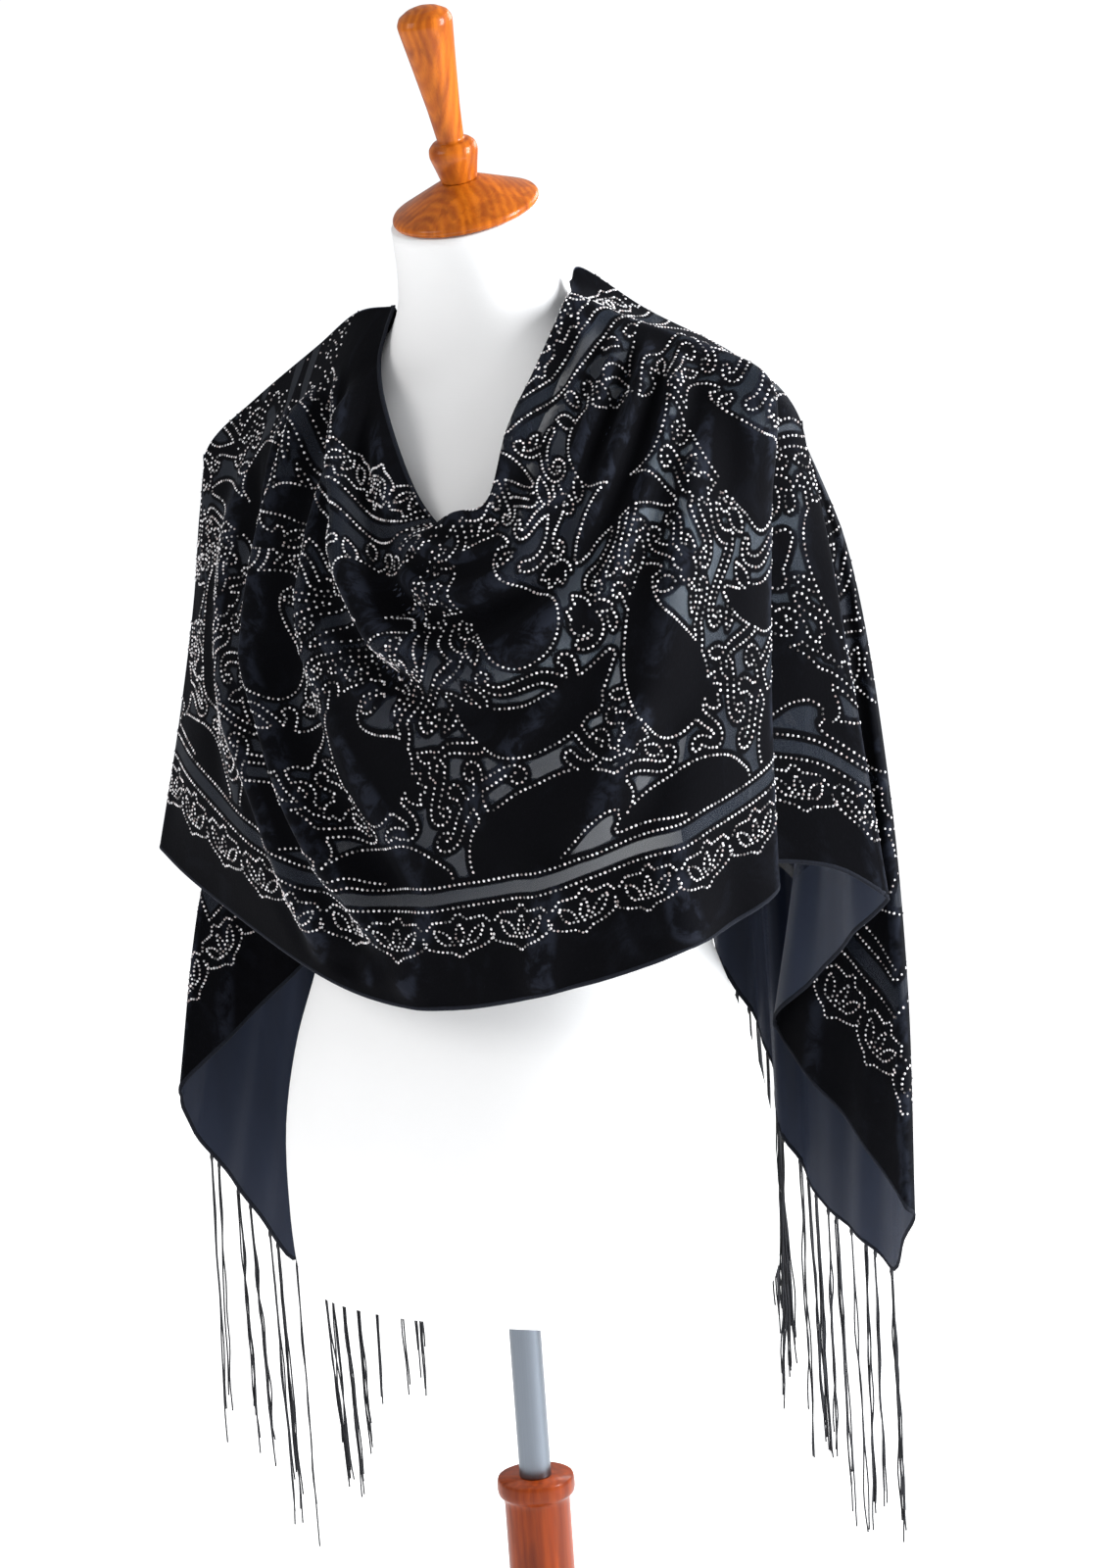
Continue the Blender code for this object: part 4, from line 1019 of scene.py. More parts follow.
class Wire:
    """A value in a material, so that shader maths can be written as sums."""

    def __init__(self, look, socket):
        self.look = look
        self.socket = socket

    def maths(self, operation, other):
        return self.look.node("ShaderNodeMath", {"operation": operation}, (self, other))

    def vector(self, operation, other):
        return self.look.node("ShaderNodeVectorMath", {"operation": operation}, (self, other))

    def __add__(self, other):
        return self.maths("ADD", other)

    def __mul__(self, other):
        return self.maths("MULTIPLY", other)

    def __sub__(self, other):
        return self.maths("SUBTRACT", other)

    def clamped(self):
        return self.look.node("ShaderNodeClamp", {}, (self,))

    def from_to(self, low, high, to_low=0.0, to_high=1.0):
        settings = {"interpolation_type": "SMOOTHSTEP"}
        return self.look.node("ShaderNodeMapRange", settings, (self, low, high, to_low, to_high))


class Look:
    """One material under construction."""

    def __init__(self, name):
        self.material = bpy.data.materials.new(name)
        self.material.use_nodes = True
        self.tree = self.material.node_tree
        self.tree.nodes.clear()
        self.output = self.tree.nodes.new("ShaderNodeOutputMaterial")

    def node(self, kind, settings, inputs=(), out=0):
        """A node of this type, with its settings made first, and then its inputs by place or by name."""
        made = self.tree.nodes.new(kind)
        for key, value in settings.items():
            setattr(made, key, value)
        for key, value in inputs.items() if isinstance(inputs, dict) else enumerate(inputs):
            if isinstance(value, Wire):
                self.tree.links.new(value.socket, made.inputs[key])
            else:
                made.inputs[key].default_value = value
        return Wire(self, made.outputs[out])

    def blend(self, share, *colours):
        """Two colours mixed by a share."""
        first, second = (value if isinstance(value, Wire) else (*value, 1) for value in colours)
        return self.node("ShaderNodeMix", {"data_type": "RGBA"}, {0: share, 6: first, 7: second}, 2)

    def number(self, name):
        """A number that the mesh holds at each point."""
        return self.node("ShaderNodeAttribute", {"attribute_name": name}, (), "Fac")

    def cut(self, stretch=(1.0, 1.0, 1.0)):
        """Where a place lies on the cut cloth, in metres times the stretch."""
        return self.node("ShaderNodeUVMap", {"uv_map": "cut"}).vector("MULTIPLY", stretch)

    def place(self, stretch=(1.0, 1.0, 1.0)):
        """Where a place lies on the object, in metres times the stretch."""
        return self.node("ShaderNodeTexCoord", {}, (), "Object").vector("MULTIPLY", stretch)

    def noise(self, at, scale, detail=3.0, roughness=0.5, distortion=0.0):
        inputs = {"Vector": at, "Scale": scale, "Detail": detail, "Roughness": roughness}
        inputs["Distortion"] = distortion
        return self.node("ShaderNodeTexNoise", {}, inputs)

    def bands(self, at, direction, scale, distortion, detail=2.0):
        settings = {"wave_type": "BANDS", "bands_direction": direction}
        inputs = {"Vector": at, "Scale": scale, "Distortion": distortion, "Detail": detail}
        return self.node("ShaderNodeTexWave", settings, inputs)

    def bump(self, height, strength, distance):
        inputs = {"Strength": strength, "Distance": distance, "Height": height}
        return self.node("ShaderNodeBump", {}, inputs)

    def surface(self, **inputs):
        """A Principled surface with these inputs, named with _ for spaces."""
        named = {key.replace("_", " "): value for key, value in inputs.items()}
        return self.node("ShaderNodeBsdfPrincipled", {}, named)

    def finish(self, shader):
        self.tree.links.new(shader.socket, self.output.inputs["Surface"])
        return self.material

    def shown(self, **inputs):
        """The finished material of one Principled surface."""
        return self.finish(self.surface(**inputs))


VELVET_SHEEN = (0.62, 0.68, 0.90, 1)
SATIN_SHEEN = (0.6, 0.68, 0.9, 1)
COPPER_GLINT = (0.80, 0.55, 0.50)
PILE_FRAY = 0.0010  # how far the edge of the pile wanders
PILE_EDGE = 0.0011  # over how much the pile gives way to the ground
SATIN_EDGE = 0.0006


def dimmed(share, colour):
    """A colour made darker."""
    return [share * part for part in colour]


def face_material():
    """The face of the cloth: velvet pile on the drawing, and the sheer ground where it is burnt away.

    The pile has crushed marks and a fine nap. Its colour holds painted sheen: it is painted lighter on the
    crushed marks, in the nap and on the ridges of the folds, where the pile leans over."""
    look = Look("burnt_out_velvet")
    settings = settings_of("cloth")
    place = look.cut()
    crush = look.noise(place, 26.0, 5.0, 0.62, 0.8)
    nap = look.noise(look.cut((1.0, 0.35, 1.0)), 900.0, 2.0, 0.6)
    # The ridge number and broken patches place a painted highlight on the crests of the folds.
    ridge = look.number("ridge").from_to(0.25, 1.0)
    broken = look.noise(place, 60.0, 4.0, 0.65, 0.5).from_to(0.42, 0.62)
    marks = crush.from_to(0.52, 0.70)
    # Painted sheen and painted highlight: lit makes the pile's colour lighter on crushed marks, in the nap
    # and on fold ridges.
    lit = (marks * 0.09 + ridge * (broken * 0.6 + 0.05) + (nap - 0.5) * 0.14).clamped()
    pile = look.surface(
        Base_Color=look.blend(lit, settings.velvet, settings.velvet_painted_sheen),
        Roughness=lit * -0.16 + 0.90,
        Normal=look.bump(nap * 0.4 + crush * 1.2, 0.35, 0.0012),
        Sheen_Weight=settings.sheen,
        Sheen_Roughness=0.32,
        Sheen_Tint=VELVET_SHEEN,
        Specular_IOR_Level=0.06,
    )
    weave = look.bands(place, "DIAGONAL", 420.0, 1.0, 1.0)
    cloudy = look.noise(place, 9.0, 3.0)
    cover = look.number("cover")
    # Painted light: where the ground hides little, its colour is painted lighter for the white form seen
    # through it; a little cloudiness and weave are added.
    lighter = (cover.from_to(0.34, 0.50, 1.0, 0.0) * 0.9 + cloudy * 0.04 + weave * 0.01).clamped()
    ground = look.surface(
        Base_Color=look.blend(lighter, settings.ground, settings.ground_painted_light),
        Roughness=0.55,
        Alpha=(cloudy - 0.5) * 0.14 + cover,
        Sheen_Weight=0.02,
        Sheen_Roughness=0.4,
        Specular_IOR_Level=0.15,
    )
    fray = (look.noise(place, 700.0, 2.0) - 0.5) * PILE_FRAY
    share = ((look.number("pile") * -1 + fray) * (1 / PILE_EDGE) + 0.5).clamped()
    return look.finish(look.node("ShaderNodeMixShader", {}, (share, ground, pile)))


def reverse_material():
    """The back of the cloth: a smooth satin ground, sheer where the pile is burnt away."""
    look = Look("satin_reverse")
    settings = settings_of("cloth")
    threads = look.bands(look.cut(), "X", 520.0, 0.6, 1.0)
    cloudy = look.noise(look.cut(), 14.0, 4.0)
    sheer = look.number("pile").from_to(-SATIN_EDGE, SATIN_EDGE)
    return look.shown(
        Base_Color=look.blend(cloudy * 0.85 + threads * 0.15, settings.reverse, settings.reverse_light),
        Roughness=(cloudy - 0.5) * 0.16 + 0.42,
        Alpha=sheer * (look.number("cover") - 1.0) + 1.0,
        Normal=look.bump(threads * 0.3 + cloudy * 0.7, 0.25, 0.0008),
        Sheen_Weight=0.12,
        Sheen_Roughness=0.35,
        Sheen_Tint=SATIN_SHEEN,
        Specular_IOR_Level=0.18,
    )


def hem_material():
    """The rolled edge: the same velvet, with a fine grain that flecks it with the velvet's painted sheen
    colour.
    """
    look = Look("rolled_hem")
    settings = settings_of("cloth")
    grain = look.noise(look.place(), 900.0, 2.0, 0.6)
    return look.shown(
        Base_Color=look.blend(grain, settings.velvet, settings.velvet_painted_sheen),
        Roughness=(grain - 0.5) * 0.1 + 0.85,
        Normal=look.bump(grain, 0.4, 0.0008),
        Sheen_Weight=settings.sheen,
        Sheen_Roughness=0.3,
        Sheen_Tint=VELVET_SHEEN,
        Specular_IOR_Level=0.15,
    )


def dot_material():
    """Silver glitter with painted glints: each dot is painted brighter or duller by its glint number, some
    facets coppery, and all glow a little as a painted sparkle.
    """
    look = Look("silver_dots")
    silver = settings_of("cloth").dots
    facets = look.noise(look.place(), 420.0, 1.0)
    # Painted glint: each dot's brightness comes from its random glint and the facets, not from the light.
    glint = (look.number("glint") * 0.9 + (facets - 0.5) * 0.8).clamped()
    colour = look.blend(glint, dimmed(0.04, silver), silver)
    tinted = look.blend(facets.from_to(0.45, 0.75, 0.0, 0.35), colour, COPPER_GLINT)
    return look.shown(
        Base_Color=tinted,
        Metallic=0.35,
        Roughness=(facets - 0.5) * 0.3 + 0.30,
        # Painted sparkle: the dots glow a little, though they are no lamp.
        Emission_Color=tinted,
        Emission_Strength=0.15,
        Normal=look.bump(look.noise(look.place(), 1900.0, 1.0), 0.7, 0.0006),
    )


def thread_material():
    """Twisted silky thread of the fringe."""
    look = Look("fringe_thread")
    colour = settings_of("fringe").colour
    twist = look.bands(look.place(), "DIAGONAL", 260.0, 1.0)
    return look.shown(
        Base_Color=look.blend(twist, dimmed(0.5, colour), colour),
        Roughness=twist * 0.15 + 0.40,
        Normal=look.bump(twist, 0.5, 0.0004),
        Specular_IOR_Level=0.4,
    )


def cover_material():
    """The knitted cover of the form: white, very fine, with the softest unevenness."""
    look = Look("form_cover")
    cover = settings_of("form").cover
    knit = look.bands(look.place(), "Z", 340.0, 1.5)
    cloudy = look.noise(look.place(), 12.0, 4.0)
    return look.shown(
        Base_Color=look.blend(knit * 0.25 + cloudy * 0.75, dimmed(0.95, cover), cover),
        Roughness=(cloudy - 0.5) * 0.1 + 0.86,
        Normal=look.bump(knit * 0.5 + look.noise(look.place(), 600.0, 2.0) * 0.5, 0.12, 0.0005),
        Sheen_Weight=0.15,
        Specular_IOR_Level=0.2,
    )


def wood_material(name, coat):
    """Polished wood: rings cut lengthwise, fine pores, a darker figure and a clear coat."""
    look = Look(name + "_wood")
    dark, mid, light = (getattr(settings_of("stand"), f"{name}_{tone}") for tone in ("dark", "mid", "light"))
    bend = look.noise(look.place((1.0, 1.0, 0.35)), 9.0, 3.0, 0.5)
    place = look.place((1.0, 1.0, 0.16)).vector("ADD", (0.013, 0.021, 0.0))
    rings = look.node(
        "ShaderNodeTexWave",
        {"wave_type": "RINGS", "rings_direction": "Z"},
        {"Vector": place, "Scale": 52.0, "Distortion": 4.0, "Detail": 3.0, "Detail Scale": 1.2},
    )
    figure = look.noise(look.place((16.0, 16.0, 1.6)), 6.0, 4.0, 0.55, 0.6)
    pores = look.noise(look.place((60.0, 60.0, 3.0)), 16.0, 3.0, 0.6).from_to(0.28, 0.50)
    tone = look.blend((rings * 0.35 + figure * 0.5 + bend * 0.4 - 0.15).clamped(), mid, light)
    darkened = look.blend(figure.from_to(0.34, 0.60, 0.38, 0.0), tone, dark)
    return look.shown(
        Base_Color=look.blend(pores * -0.20 + 0.20, darkened, dark),
        Roughness=(figure - 0.5) * 0.12 + 0.36,
        Specular_IOR_Level=0.12,
        Normal=look.bump(figure * 0.5 + pores * 0.5, 0.03, 0.0003),
        Coat_Weight=coat,
        Coat_Roughness=0.10,
        Coat_IOR=1.5,
    )


def steel_material():
    """The brushed pole: fine streaks along it and soft smudges."""
    look = Look("brushed_steel")
    steel = settings_of("stand").steel
    streaks = look.noise(look.place((900.0, 900.0, 9.0)), 1.0, 3.0, 0.6)
    smudge = look.noise(look.place(), 30.0, 3.0)
    return look.shown(
        Base_Color=look.blend(streaks * 0.6 + smudge * 0.4, dimmed(0.72, steel), steel),
        Metallic=1.0,
        Roughness=(smudge - 0.5) * 0.2 + streaks * 0.12 + 0.26,
        Normal=look.bump(streaks, 0.05, 0.0003),
    )


def settings_of(group):
    """The sizes and colours of one group of pieces."""
    return getattr(bpy.context.scene.shawl_settings, group)


def colour_of(name, description, default):
    return FloatVectorProperty(
        name=name, description=description, default=default, min=0.0, max=1.0, subtype="COLOR"
    )


def number_of(name, description, default, least=0, most=1, kind=FloatProperty, **more):
    return kind(name=name, description=description, default=default, min=least, max=most, **more)


class ShawlClothSettings(bpy.types.PropertyGroup):
    velvet: colour_of("Velvet", "Colour of the pile", (0.0016, 0.0017, 0.0026))
    # Painted sheen: the pile's colour where it catches the light, on crushed marks, nap and fold ridges.
    velvet_painted_sheen: colour_of("Velvet, leaning", "Its colour where it leans over", (0.015, 0.018, 0.028))
    ground: colour_of("Sheer ground", "Colour where the pile is burnt away", (0.005, 0.007, 0.013))
    # Painted light: the ground's colour where it hides little, standing in for the white form seen through
    # it.
    ground_painted_light: colour_of("Sheer ground, lighter", "Its colour where it lies single", (0.15, 0.185, 0.22))
    reverse: colour_of("Satin reverse", "Colour of the back of the cloth", (0.008, 0.011, 0.021))
    reverse_light: colour_of("Satin reverse, lighter", "Its lighter threads", (0.021, 0.029, 0.055))
    dots: colour_of("Silver dots", "Colour of the glitter dots", (0.97, 0.97, 1.0))
    ground_cover: number_of("Ground cover", "How much the sheer ground hides", 0.47, subtype="FACTOR")
    sheen: number_of("Sheen", "Strength of the velvet's sheen", 0.04, subtype="FACTOR")
    hem_width: number_of("Hem width", "Width of the rolled edge", 0.0034, 0.001, 0.01, unit="LENGTH")
    dot_size: number_of("Dot size", "Width of one glitter dot", 0.0019, 0.0005, 0.005, unit="LENGTH")


class ShawlFringeSettings(bpy.types.PropertyGroup):
    colour: colour_of("Thread", "Colour of the fringe", (0.006, 0.0075, 0.013))
    length: number_of("Length", "How far the threads hang", 0.228, 0.02, 0.5, unit="LENGTH")
    groups: number_of("Groups", "Groups of threads on each end", 24, 4, 80, IntProperty)
    threads: number_of("Threads", "One less than the most threads in a group", 5, 1, 12, IntProperty)
    thickness: number_of("Thickness", "Thickness of a thread", 0.0014, 0.0003, 0.003, unit="LENGTH")


class ShawlFormSettings(bpy.types.PropertyGroup):
    cover: colour_of("Cover", "Colour of the knitted cover", (0.93, 0.93, 0.932))
    levels: number_of("Levels", "Rings of points up the form", 90, 30, 200, IntProperty)
    columns: number_of("Columns", "Points round the form", 96, 32, 200, IntProperty)


class ShawlStandSettings(bpy.types.PropertyGroup):
    cap_dark: colour_of("Cap, dark", "Dark figure of the cap's wood", (0.12, 0.020, 0.003))
    cap_mid: colour_of("Cap, middle", "Main colour of the cap's wood", (0.32, 0.055, 0.003))
    cap_light: colour_of("Cap, light", "Light figure of the cap's wood", (0.64, 0.175, 0.010))
    column_dark: colour_of("Column, dark", "Dark figure of the column's wood", (0.045, 0.009, 0.005))
    column_mid: colour_of("Column, middle", "Main colour of the column's wood", (0.17, 0.020, 0.002))
    column_light: colour_of("Column, light", "Light figure of the column's wood", (0.30, 0.050, 0.005))
    steel: colour_of("Steel", "Colour of the pole", (0.20, 0.225, 0.26))


class ShawlStageSettings(bpy.types.PropertyGroup):
    floor: colour_of("Floor", "Colour of the floor", (1.0, 1.0, 1.0))
    surround: number_of("Surround", "Light from the room", 0.46, 0, 5)
    backdrop: number_of("Backdrop", "Brightness of the white backdrop to the camera", 1.08, 0, 5)
    glow: number_of("Floor glow", "Light that the floor gives back", 0.62, 0, 5)
    key: number_of("Key light", "Power that the lights are shares of", 72.0, 0, 500, unit="POWER")


class ShawlSettings(bpy.types.PropertyGroup):
    cloth: PointerProperty(type=ShawlClothSettings, name="Cloth", description="The velvet and its dots")
    fringe: PointerProperty(type=ShawlFringeSettings, name="Fringe", description="The threads on both ends")
    form: PointerProperty(type=ShawlFormSettings, name="Form", description="The dress form")
    stand: PointerProperty(type=ShawlStandSettings, name="Stand", description="Wood and steel")
    stage: PointerProperty(type=ShawlStageSettings, name="Stage", description="Floor and lights")


EDGE_SLACK = 0.002  # how far a dot of the drawing may lie past the field's edge
DOT_LIFT = 0.0001
DOT_SEED = 11
DOT_SIZES = (0.86, 1.12)  # of the dot size
DOT_GLINTS = (0.9, 0.8)  # the beta draw that shares out dull and bright dots, a painted glint
HEM_SIDES = 8
HEM_FLATNESS = 0.55
RIDGE_ROUNDS = 12
RIDGE_HEIGHT = 0.0007

# The sheer ground hides more at the ends, where the front is gathered and under the cowl's lip, and less
# at two places on the chest. Where the front is gathered and under the lip, the added cover is partly
# doubled cloth and partly painted shade. At the two chest spots the lower cover lets the material paint
# the ground lighter, as painted light. Each spot: x, z, half width, half height.
END_COVER = 0.36
DENSER = 0.42
PAINTED_LIGHT_THINNING = 0.13
GATHERED_X = -0.055
GATHERED_FADE = 0.022
LIP_SPOT = (0.02, 1.285, 0.075, 0.035)
CHEST_SPOT = (0.165, 1.285, 0.055, 0.065)
BELOW_SPOT = (0.12, 1.19, 0.035, 0.03)

FRINGE_SEEDS = {"end_minus": 5, "end_plus": 8}
THREAD_MARKS = 22
KNOT_HEIGHTS = (0.0015, -0.002, -0.004, -0.007)  # from the cloth's edge
KNOT_SIDES = 6
ROOT_PLACES = (0.15, 0.85)  # of the room that a group has
GROUP_LENGTHS = (0.90, 1.05)
THREAD_LENGTHS = (0.80, 1.0)
THREAD_SIDES = 3
THREAD_WAVES = (11, 23)
THREAD_STILL = 4  # a thread sways fully from one part in this many of its length
THREAD_SWAYS = (0.4, 1.4)
KNOT_WIDTHS = (0.0009, 0.0012, 0.0016, 0.0009)
GROUP_LEAN = 0.004  # how far a group hangs to one side at its foot
THREAD_LEAN = 0.0011
THREAD_SWAY = 0.0007
THREAD_SPREAD = 0.0004
THREAD_REACH = 0.02
THREAD_GAP = 0.002  # from the form to the middle of a thread
FLOOR = 6.0  # half of the floor's side


@functools.lru_cache(maxsize=None)
def drawing():
    """The distances to the drawing, and where its dots lie, in metres from the start of a repeat."""
    table = drawn_table()
    return table, dots_of_field(table) / 1000, dots_of_border() / 1000


def all_dots():
    """Every dot of the cut, as p along it and q across it."""
    _, field, border = drawing()
    spots = []
    repeat = REPEAT / 1000
    reach = math.ceil(HALF_LENGTH / repeat)
    for index in range(-reach, reach):
        placed = field + (index * repeat, 0)
        spots.append(placed[from_edge(placed[:, 0], placed[:, 1]) > FIELD_FROM - EDGE_SLACK])
    inner = HALF_LENGTH - END_MARGIN
    count = int(2 * inner / (SCALLOP / 1000)) + 2
    for index in range(count):
        x = -inner + (index + 0.5) * 2 * inner / count + border[:, 0]
        spots += [np.stack([x, y], 1) for y in (border[:, 1], WIDTH - border[:, 1])]
    for sign in (-1, 1):
        for index in range(END_SCALLOPS):
            step = (WIDTH - 2 * END_SCALLOP_FROM) / (END_SCALLOPS - 1)
            y = END_SCALLOP_FROM + index * step + border[:, 0]
            spots.append(np.stack([sign * (inner - border[:, 1]), y], 1))
    for level in (STRIPE - ROW_OUT, STRIPE + ROW_OUT):
        along = np.arange(-inner + level, inner - level, DOT_STEP / 1000)
        spots += [np.stack([along, np.full(len(along), y)], 1) for y in (level, WIDTH - level)]
        up = np.arange(level, WIDTH - level, DOT_STEP / 1000)
        spots += [np.stack([np.full(len(up), sign * (inner - level)), up], 1) for sign in (-1, 1)]
    return np.concatenate(spots)


def dots_on(stretch):
    """Where the dots of a stretch stand: their places, the normals there, and the way along the cut."""
    flat = np.stack([stretch.p.ravel(), stretch.q.ravel(), np.zeros(stretch.p.size)], 1)
    quads = grid_faces(*stretch.p.shape)
    tree = BVHTree.FromPolygons(flat.tolist(), quads.tolist())
    points = stretch.grid.reshape(-1, 3)
    normals = stretch.normal.reshape(-1, 3)
    low = flat.min(axis=0)
    high = flat.max(axis=0)
    places, ups, aheads = [], [], []
    for p, q in all_dots():
        if not (low[0] < p < high[0] and low[1] < q < high[1]):
            continue
        hit, _, face, _ = tree.ray_cast(Vector((p, q, 1.0)), Vector((0, 0, -1)))
        if hit is None:
            continue
        corners = quads[face]
        weights = np.array(poly_3d_calc([Vector(flat[c]) for c in corners], hit))
        places.append(weights @ points[corners])
        ups.append(weights @ normals[corners])
        aheads.append(points[corners[3]] - points[corners[0]])
    ups = unit(np.array(ups))
    aheads = np.array(aheads)
    aheads -= ups * (aheads * ups).sum(axis=1)[:, None]
    return np.array(places) + DOT_LIFT * ups, ups, unit(aheads)


def hem_paths(name, stretch):
    """The free edges of a stretch, each as a path and the normals along it."""
    other = {"front": (slice(None), 0), "end_minus": 0, "end_plus": -1}[name]
    return [(stretch.grid[at], stretch.normal[at]) for at in ((slice(None), -1), other)]


def ground_cover(name, grid):
    """How much the sheer ground hides at each point: most where the cloth lies doubled and gathered, partly
    as painted shade, and least at the chest spots, for painted light.
    """
    cover = settings_of("cloth").ground_cover
    if name != "front":
        return np.full(grid.shape[:2], cover + END_COVER)
    x, z = grid[..., 0], grid[..., 2]
    gathered = 1 / (1 + np.exp((x - GATHERED_X) / GATHERED_FADE))
    lip, chest, below = (
        np.exp(-(((x - place_x) / wide) ** 2) - ((z - place_z) / high) ** 2)
        for place_x, place_z, wide, high in (LIP_SPOT, CHEST_SPOT, BELOW_SPOT)
    )
    # Partly painted shade where gathered and under the lip; painted light at the chest spots.
    return cover + DENSER * np.maximum(gathered, lip) - PAINTED_LIGHT_THINNING * np.maximum(chest, below)


def ridges(grid, normal):
    """How far each point stands above its surroundings: 1 on a sharp ridge, below 0 in a hollow."""
    soft = evened(evened(grid, RIDGE_ROUNDS), RIDGE_ROUNDS, axis=1)
    return np.clip(((grid - soft) * normal).sum(axis=2) / RIDGE_HEIGHT, -1, 1)


def cloth_layer(name, label, grid, p, q, faces, look):
    """One side of the cloth, with the cut's coordinates, the drawing and the ground's cover on it."""
    made = mesh_object(label, grid.reshape(-1, 3), faces, look)
    give_coordinates(made, p, q)
    give_number(made, "pile", pile_at(drawing()[0], p, q))
    give_number(made, "cover", ground_cover(name, grid))
    return made


def make_cloth(name, looks):
    """The face, the reverse, the rolled edges and the dots of one stretch."""
    stretch = draped()[0][name]
    label = "velvet_" + name
    settings = settings_of("cloth")
    faces = grid_faces(*stretch.p.shape)
    face = cloth_layer(name, label, stretch.grid, stretch.p, stretch.q, faces, looks["face"])
    # Painted highlight: the face's colour is painted lighter where this ridge number is high.
    give_number(face, "ridge", ridges(stretch.grid, stretch.normal))
    back, p, q = stretch.reverse()
    faces = grid_faces(*p.shape)[:, ::-1]
    reverse = cloth_layer(name, label + "_reverse", back, p, q, faces, looks["reverse"])
    half = settings.hem_width / 2
    tubes = []
    for path, up in hem_paths(name, stretch):
        middle = path[::2] - up[::2] * LAYER / 2
        tubes.append(tube_mesh(tube_rings(middle, up[::2], half, HEM_FLATNESS * half, HEM_SIDES)))
    hem = mesh_object(label + "_hem", *joined_meshes(tubes), looks["hem"])
    places, ups, aheads = dots_on(stretch)
    rng = np.random.default_rng(DOT_SEED)
    size = settings.dot_size / 2 * rng.uniform(*DOT_SIZES, len(places))[:, None, None]
    dots = mesh_object(label + "_dots", *dot_meshes(places, ups, aheads, size), looks["dots"])
    # Painted glint: a random brightness for each dot.
    give_number(dots, "glint", np.repeat(rng.beta(*DOT_GLINTS, len(places)), DOME_POINTS))
    return face, [reverse, hem, dots]


def fringe_threads(name, stretch, tree):
    """Threads in groups under one short edge, each group hung from a knot."""
    settings = settings_of("fringe")
    rng = np.random.default_rng(FRINGE_SEEDS[name])
    span = slice(None, stretch.corner + 1) if name == "end_minus" else slice(stretch.corner, None)
    edge = stretch.grid[span, -1]
    marks = (np.arange(settings.groups) + rng.uniform(*ROOT_PLACES, settings.groups)) / settings.groups
    tubes = []
    half = settings.thickness / 2
    up = np.array([0.0, 1.0, 0.0])
    share = np.linspace(0, 1, THREAD_MARKS)
    still = np.clip(share * THREAD_STILL, 0, 1)
    for root in resampled(edge, marks * lengths(edge)[-1]):
        hang = settings.length * rng.uniform(*GROUP_LENGTHS)
        knot = root + (0, 0, KNOT_HEIGHTS[2])
        lean = rng.normal(0, GROUP_LEAN, 2)
        for _ in range(rng.integers(2, settings.threads + 2)):
            reach = hang * rng.uniform(*THREAD_LENGTHS)
            own = rng.normal(0, THREAD_LEAN, 2)
            phase = rng.uniform(0, 2 * math.pi, 4)
            sway = THREAD_SWAY * rng.uniform(*THREAD_SWAYS)
            path = np.zeros((len(share), 3))
            for axis in (0, 1):
                slow = np.sin(share * THREAD_WAVES[0] + phase[axis])
                wave = slow + 0.5 * np.sin(share * THREAD_WAVES[1] + phase[axis + 2])
                path[:, axis] = knot[axis] + (lean[axis] + own[axis]) * share + sway * wave * still
                path[:, axis] += rng.normal(0, THREAD_SPREAD)
            path[:, 2] = knot[2] - reach * share
            for index, normal, height in above_form(tree, path.copy(), THREAD_REACH):
                if height < THREAD_GAP:
                    path[index] += normal * (THREAD_GAP - height)
            tubes.append(tube_mesh(tube_rings(path, up, half, half, THREAD_SIDES)))
        bead = root + np.array([(0, 0, height) for height in KNOT_HEIGHTS])
        tubes.append(tube_mesh(tube_rings(bead, up, KNOT_WIDTHS, KNOT_WIDTHS, KNOT_SIDES)))
    return joined_meshes(tubes)


class SHAWL_OT_form(bpy.types.Operator):
    """Make the form's body with its knitted cover"""

    bl_idname = "shawl.form"
    bl_label = "Form"

    def execute(self, context):
        settings = settings_of("form")
        points = form_points(settings.levels, settings.columns)
        body = mesh_object("form_body", *tube_mesh(points), cover_material())
        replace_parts(body, "form_torso")
        return {"FINISHED"}


class SHAWL_OT_stand(bpy.types.Operator):
    """Make the neck cap, the finial, the pole, the column and its foot"""

    bl_idname = "shawl.stand"
    bl_label = "Neck cap and stand"

    def execute(self, context):
        cap = wood_material("cap", 0.22)
        column = wood_material("column", 0.15)
        neck = (0, RINGS[-1][4], RINGS[-1][0])
        for name, node, profile, foot, lean, look in (
            ("cap_turned", "neck_cap", CAP_ROWS, neck, NECK_LEAN, cap),
            ("finial_turned", "finial", FINIAL_ROWS, neck, NECK_LEAN, cap),
            ("pole_drawn", "pole", POLE_ROWS, (0, 0, 0), 0.0, steel_material()),
            ("column_turned", "stand_column", COLUMN_ROWS, (0, 0, 0), 0.0, column),
            ("foot_turned", "stand_base", BASE_ROWS, (0, 0, 0), 0.0, column),
        ):
            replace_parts(turned(name, profile, foot, lean, look), node)
        return {"FINISHED"}


class SHAWL_OT_cloth(bpy.types.Operator):
    """Make the three stretches of the shawl with their reverse, rolled edges, dots and fringe"""

    bl_idname = "shawl.cloth"
    bl_label = "Shawl"

    def execute(self, context):
        looks = {"face": face_material(), "reverse": reverse_material()}
        looks.update(hem=hem_material(), dots=dot_material())
        thread = thread_material()
        for name, node, flat in (
            ("front", "shawl_front", (0.70, WIDTH)),
            ("end_minus", "shawl_end_minus", (0.475, WIDTH)),
            ("end_plus", "shawl_end_plus", (0.475, WIDTH)),
        ):
            face, others = make_cloth(name, looks)
            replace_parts(face, node)
            if name != "front":
                stretches, tree = draped()
                points, faces = fringe_threads(name, stretches[name], tree)
                fringe = mesh_object("threads_" + name, points, faces, thread)
                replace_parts(fringe, "fringe_" + name[4:])
                others.append(fringe)
            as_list(others)
        return {"FINISHED"}


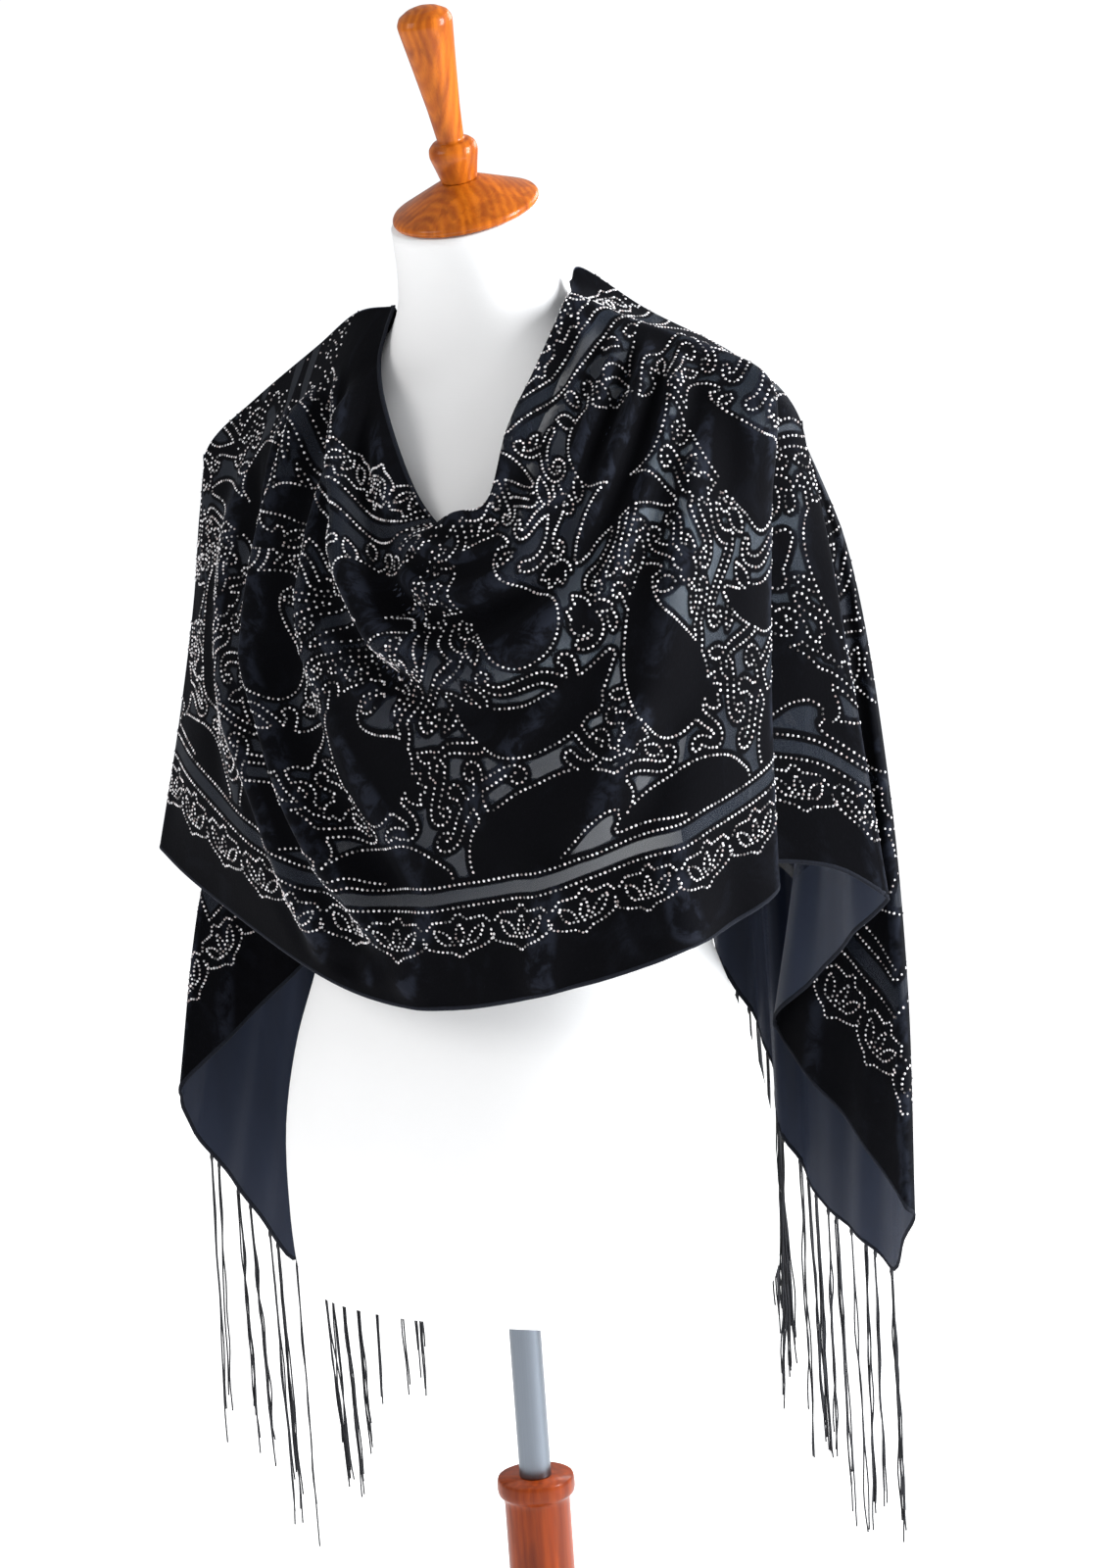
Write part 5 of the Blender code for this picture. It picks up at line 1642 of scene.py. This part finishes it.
class SHAWL_OT_stage(bpy.types.Operator):
    """Make the pale floor, the soft light and the camera"""

    bl_idname = "shawl.stage"
    bl_label = "Stage"

    def execute(self, context):
        settings = settings_of("stage")
        scene = context.scene

        def placed(name, data):
            made = bpy.data.objects.new(name, data)
            scene.collection.objects.link(made)
            return made

        made = bpy.data.meshes.new("floor")
        corners = [(x * FLOOR, y * FLOOR, 0) for x, y in ((-1, -1), (1, -1), (1, 1), (-1, 1))]
        made.from_pydata(corners, [], [(0, 1, 2, 3)])
        floor = placed("floor", made)
        look = Look("floor")
        soft = look.noise(look.place(), 3.0, 2.0)
        made.materials.append(
            look.shown(
                Base_Color=look.blend(soft, dimmed(0.98, settings.floor), settings.floor),
                Roughness=0.9,
                Emission_Color=(1, 1, 1, 1),
                Emission_Strength=settings.glow,
            )
        )

        world = bpy.data.worlds.new("studio")
        scene.world = world
        world.use_nodes = True
        background = world.node_tree.nodes["Background"]
        background.inputs["Color"].default_value = (0.965, 0.98, 1.0, 1)
        seen = world.node_tree.nodes.new("ShaderNodeLightPath")
        bright = world.node_tree.nodes.new("ShaderNodeMapRange")
        bright.inputs["To Min"].default_value = settings.surround
        bright.inputs["To Max"].default_value = settings.backdrop
        world.node_tree.links.new(seen.outputs["Is Camera Ray"], bright.inputs["Value"])
        world.node_tree.links.new(bright.outputs["Result"], background.inputs["Strength"])

        for name, place, aim, wide, high, power, colour in (
            ("key", (-1.8, -2.1, 2.7), (0, 0, 1.15), 1.6, 1.6, 0.42, (1.0, 0.98, 0.96)),
            ("side", (2.6, 0.4, 2.1), (0, 0, 1.25), 0.9, 2.0, 2.4, (0.96, 0.98, 1.0)),
            ("rim", (0.9, 2.6, 2.4), (0, 0, 1.2), 1.6, 1.2, 0.5, (1.0, 1.0, 1.0)),
        ):
            light = bpy.data.lights.new(name, "AREA")
            light.shape = "RECTANGLE"
            light.size = wide
            light.size_y = high
            light.energy = power * settings.key
            light.color = colour
            lamp = placed(name, light)
            lamp.location = place
            lamp.rotation_euler = (Vector(aim) - Vector(place)).to_track_quat("-Z", "Y").to_euler()

        camera = bpy.data.cameras.new("camera")
        camera.lens = CAMERA_LENS
        camera.sensor_width = 36.0
        camera.clip_end = 50.0
        eye = placed("camera", camera)
        ahead = (CAMERA_AIM - CAMERA_PLACE).normalized()
        right = ahead.cross(Vector((0, 0, 1))).normalized()
        up = right.cross(ahead)
        tilted = math.cos(CAMERA_ROLL) * right - math.sin(CAMERA_ROLL) * up
        upright = math.sin(CAMERA_ROLL) * right + math.cos(CAMERA_ROLL) * up
        turn = Matrix((tilted, upright, -ahead)).transposed().to_4x4()
        eye.matrix_world = Matrix.Translation(CAMERA_PLACE) @ turn
        scene.camera = eye
        scene.view_settings.view_transform = "Standard"
        scene.view_settings.look = "None"
        scene.render.film_transparent = False
        return {"FINISHED"}


OPERATORS = (SHAWL_OT_form, SHAWL_OT_stand, SHAWL_OT_cloth, SHAWL_OT_stage)


class SHAWL_PT_pieces(bpy.types.Panel):
    """The pieces of the shawl and its form"""

    bl_idname = "SHAWL_PT_pieces"
    bl_label = "Velvet shawl"
    bl_space_type = "VIEW_3D"
    bl_region_type = "UI"
    bl_category = "Shawl"

    def draw(self, context):
        for made in OPERATORS:
            self.layout.operator(made.bl_idname)
        for group in ("cloth", "fringe", "form", "stand", "stage"):
            box = self.layout.box()
            box.label(text=group.capitalize())
            settings = settings_of(group)
            for name in settings.__annotations__:
                box.prop(settings, name)


CLASSES = (
    ShawlClothSettings, ShawlFringeSettings, ShawlFormSettings, ShawlStandSettings, ShawlStageSettings,
    ShawlSettings, *OPERATORS, SHAWL_PT_pieces,
)


def register():
    for made in CLASSES:
        bpy.utils.register_class(made)
    bpy.types.Scene.shawl_settings = PointerProperty(
        type=ShawlSettings, name="Shawl", description="Sizes and colours of the shawl"
    )


def unregister():
    del bpy.types.Scene.shawl_settings
    for made in reversed(CLASSES):
        bpy.utils.unregister_class(made)


def main():
    register()
    for made in OPERATORS:
        group, name = made.bl_idname.split(".")
        getattr(getattr(bpy.ops, group), name)()


if __name__ == "__main__":
    main()
